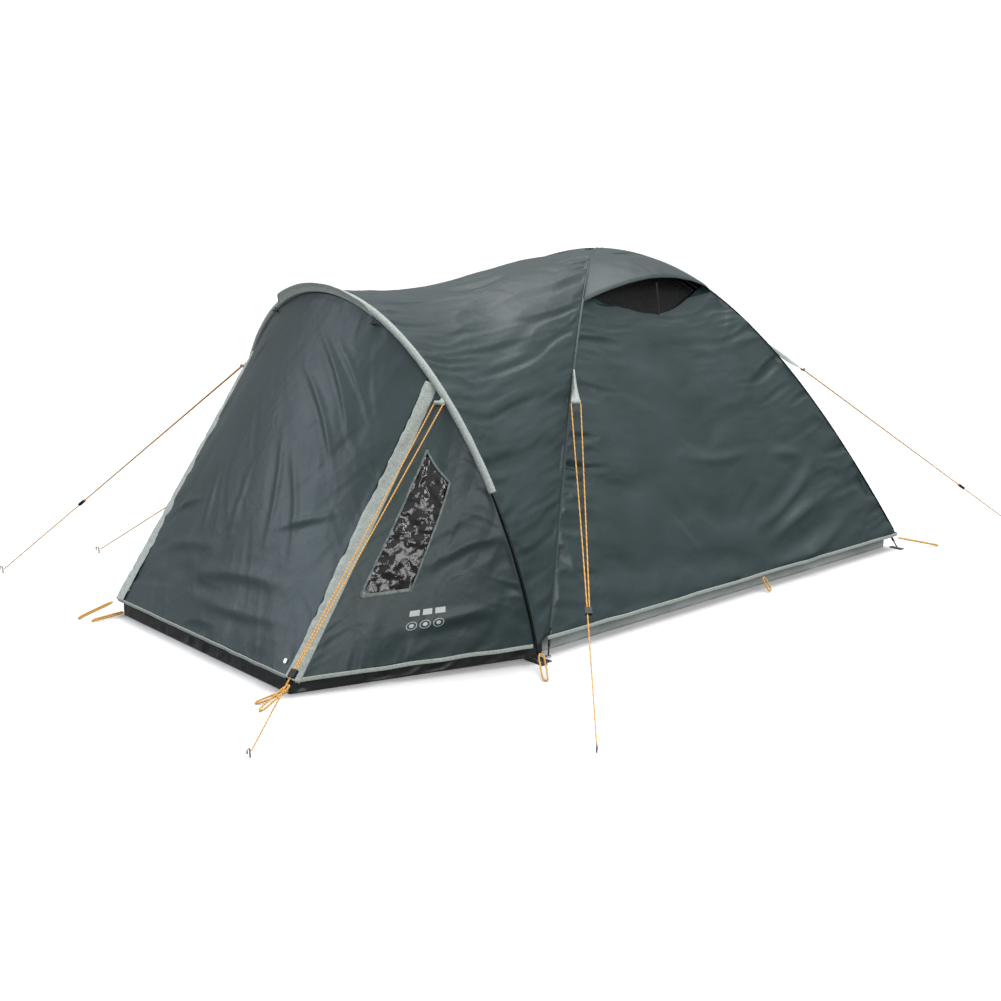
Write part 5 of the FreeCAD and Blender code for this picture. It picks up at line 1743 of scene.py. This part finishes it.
# ---- Inner tent and groundsheets ----------------------------------------------------
@dataclass
class InnerTent:
    """Inner tent that hangs under the poles, its door and the two groundsheets."""

    tent: Tent
    inset: float = 0.055
    wall: float = 0.080
    porch_wall: float = 0.052
    porch_front_share: float = 0.75
    tray_half: float = 0.722
    tray_front: float = -0.575
    tray_rear: float = 1.352
    door_half: float = 0.330
    door_foot: float = 0.120
    door_head: float = 0.700

    def wall_cloth(self, name: str, points: Array, seed: int, keep: Array | None = None) -> Cloth:
        """One wall of the inner tent, slack between its clips."""
        layers = [Ripple(15, 0.10, 3, 0.0050, seed, 0.2), Ripple(70, 0.06, 4, 0.0030, seed + 1, 0.4)]
        return Cloth(name, points, DOME_INSIDE, layers, keep=keep)

    def front_grid(self) -> tuple[Array, Array]:
        """The front wall and which of its cells are outside the doorway."""
        foot = TENT.hem_share(self.wall + 0.003, self.inset)
        rows = np.linspace(0.004, foot, 121)[None]
        heights = TENT.height * TENT.arch(rows) * (1 - self.inset)
        across = np.linspace(-1, 1, 121)[:, None] + np.zeros_like(rows)
        points = TENT.end_point(across, rows + np.zeros_like(across), -1, self.inset)
        x = (points[1:, 1:, 0] + points[:-1, :-1, 0]) / 2
        z = (heights[0, 1:] + heights[0, :-1])[None] / 2 + np.zeros_like(x)
        inside = (np.abs(x) < self.door_half) & (z > self.door_foot) & (z < self.door_head)
        return points, ~inside

    def door_cloth(self) -> Cloth:
        """The inner door, over its doorway."""
        low = TENT.hem_share(self.door_foot + 0.003, self.inset)
        high = TENT.hem_share(self.door_head - 0.003, self.inset)
        down = np.linspace(high, low, 61)[None]
        x = np.linspace(-1, 1, 61)[:, None] * (self.door_half - 0.003)
        size = 1 - self.inset
        points = place(x + np.zeros_like(down), TENT.centre_y - TENT.half_length * down * size,
                       TENT.height * TENT.arch(down) * size)
        return Cloth("inner_door_cloth", points, DOME_INSIDE,
                     [Ripple(80, 0.09, 3, 0.004, 221, 0.2)])

    def tray_wall(self, name: str, a: Point, b: Point, height: float, seed: int) -> Cloth:
        """One upturned side of a groundsheet, wavy along its top."""
        run, rise = np.linspace(0, 1, 220)[:, None], np.linspace(0, 1, 12)[None]
        start, end = np.array(a), np.array(b)
        points = start + (end - start) * run[..., None] + rise[..., None] * np.array([0, 0, height])
        return Cloth(name, points, (0.0, 0.2, 0.02),
                     [Ripple(85, 0.045, 3, 0.0045, seed, 0.4), Ripple(30, 0.03, 3, 0.0030, seed + 1, 0.5)],
                     pinned=(Edge.FOOT, Edge.LEFT, Edge.RIGHT), pin_width=0.01)

    def floor_cloth(self, name: str, corners: tuple[Point, Point, Point, Point], seed: int) -> Cloth:
        """The flat part of a groundsheet."""
        a, b, c, d = (np.array(corner, float) for corner in corners)
        u, v = np.linspace(0, 1, 60)[:, None, None], np.linspace(0, 1, 60)[None, :, None]
        points = (a * (1 - u) + b * u) * (1 - v) + (d * (1 - u) + c * u) * v
        return Cloth(name, points + np.array([0, 0, 0.002]), (0.0, 0.2, -1.0),
                     [Ripple(20, 0.09, 3, 0.0014, seed, 0.4)])

    def build(self) -> None:
        """Makes the inner tent."""
        tent, finishes = self.tent, self.tent.finishes
        foot = TENT.hem_share(self.wall + 0.003, self.inset)
        across, down = np.linspace(-1, 1, 91)[:, None], np.linspace(0.004, foot, 91)[None]
        walls = [(self.wall_cloth("inner_wall_" + hand.word,
                                  handed(TENT.side_point(across, down, self.inset), hand), 201),
                  "inner_side_walls") for hand in Hand]
        rear = TENT.end_point(across, down, 1, self.inset)
        walls.append((self.wall_cloth("inner_wall_rear", rear, 203), "inner_rear_wall"))
        points, keep = self.front_grid()
        walls.append((self.wall_cloth("inner_wall_front", points, 205, keep), "inner_front_wall"))
        for wall, node in walls:
            tent.lay_sheet(wall, finishes.inner, "inner_cloth", [node], ["pole_clips"], "hung")
        tent.lay_sheet(self.door_cloth(), finishes.inner, "inner_cloth", ["inner_door"],
                       ["inner_wall_front"], "hung", body="inner_door")
        tent.dress_nodes(finishes.zip_tape, "inner_zip")
        tent.dress_nodes(finishes.zip_metal, "inner_zip_slider")
        self.groundsheets()

    def groundsheets(self) -> None:
        """Makes the sleeping room's tray and the porch's black one."""
        tent, finishes = self.tent, self.tent.finishes
        x, front, rear = self.tray_half, self.tray_front, self.tray_rear
        room = ((-x, front, 0.0), (x, front, 0.0), (x, rear, 0.0), (-x, rear, 0.0))
        back = front - 0.003
        porch = ((-0.506, -1.371, 0.0), (0.506, -1.371, 0.0), (0.738, -0.640, 0.0), (0.738, back, 0.0),
                 (-0.738, back, 0.0), (-0.738, -0.640, 0.0))
        pieces = [("room_tray", room, self.wall, finishes.tray, "groundsheet", "inner_groundsheet", (), 231),
                  ("porch_tray", porch, self.porch_wall, finishes.porch_tray, "porch_groundsheet",
                   "porch_groundsheet", (3,), 251)]
        for name, corners, wall, material, slot, node, open_edges, seed in pieces:
            loop = list(zip(corners, corners[1:] + corners[:1]))
            for index, (a, b) in enumerate(loop):
                if index in open_edges:
                    continue
                height = wall * (self.porch_front_share if name == "porch_tray" and index == 0 else 1.0)
                cloth = self.tray_wall(f"{name}_wall_{index}", a, b, height, seed + index * 3)
                tent.lay_sheet(cloth, material, slot, [node], ["corner_straps"],
                               thickness=TRIM_THICKNESS)
            quads = {"_floor": corners}
            if name == "porch_tray":
                first, second, third, fourth, fifth, sixth = corners
                quads = {"_floor_front": (first, second, third, sixth),
                         "_floor_rear": (sixth, third, fourth, fifth)}
            floors = [self.floor_cloth(name + part, quad, seed + 40 + step)
                      for step, (part, quad) in enumerate(quads.items())]
            for floor in floors:
                tent.lay_sheet(floor, material, slot, [node], ["corner_straps"], "laid", TRIM_THICKNESS)


# ---- All of it ----------------------------------------------------------------------
def main() -> None:
    """Builds the tent round its frame, in order."""
    logging.basicConfig(level=logging.INFO, format="%(message)s")
    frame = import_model()
    Studio().build()
    tent = Tent(frame, Finishes.make())
    for assembly in (Guylines(tent), DomeFly(tent), Porch(tent), Poles(tent), PegLoops(tent),
                     InnerTent(tent)):
        assembly.build()
        LOG.info("built %s", type(assembly).__name__)
    bpy.context.view_layer.update()


if __name__ == "__main__":
    main()
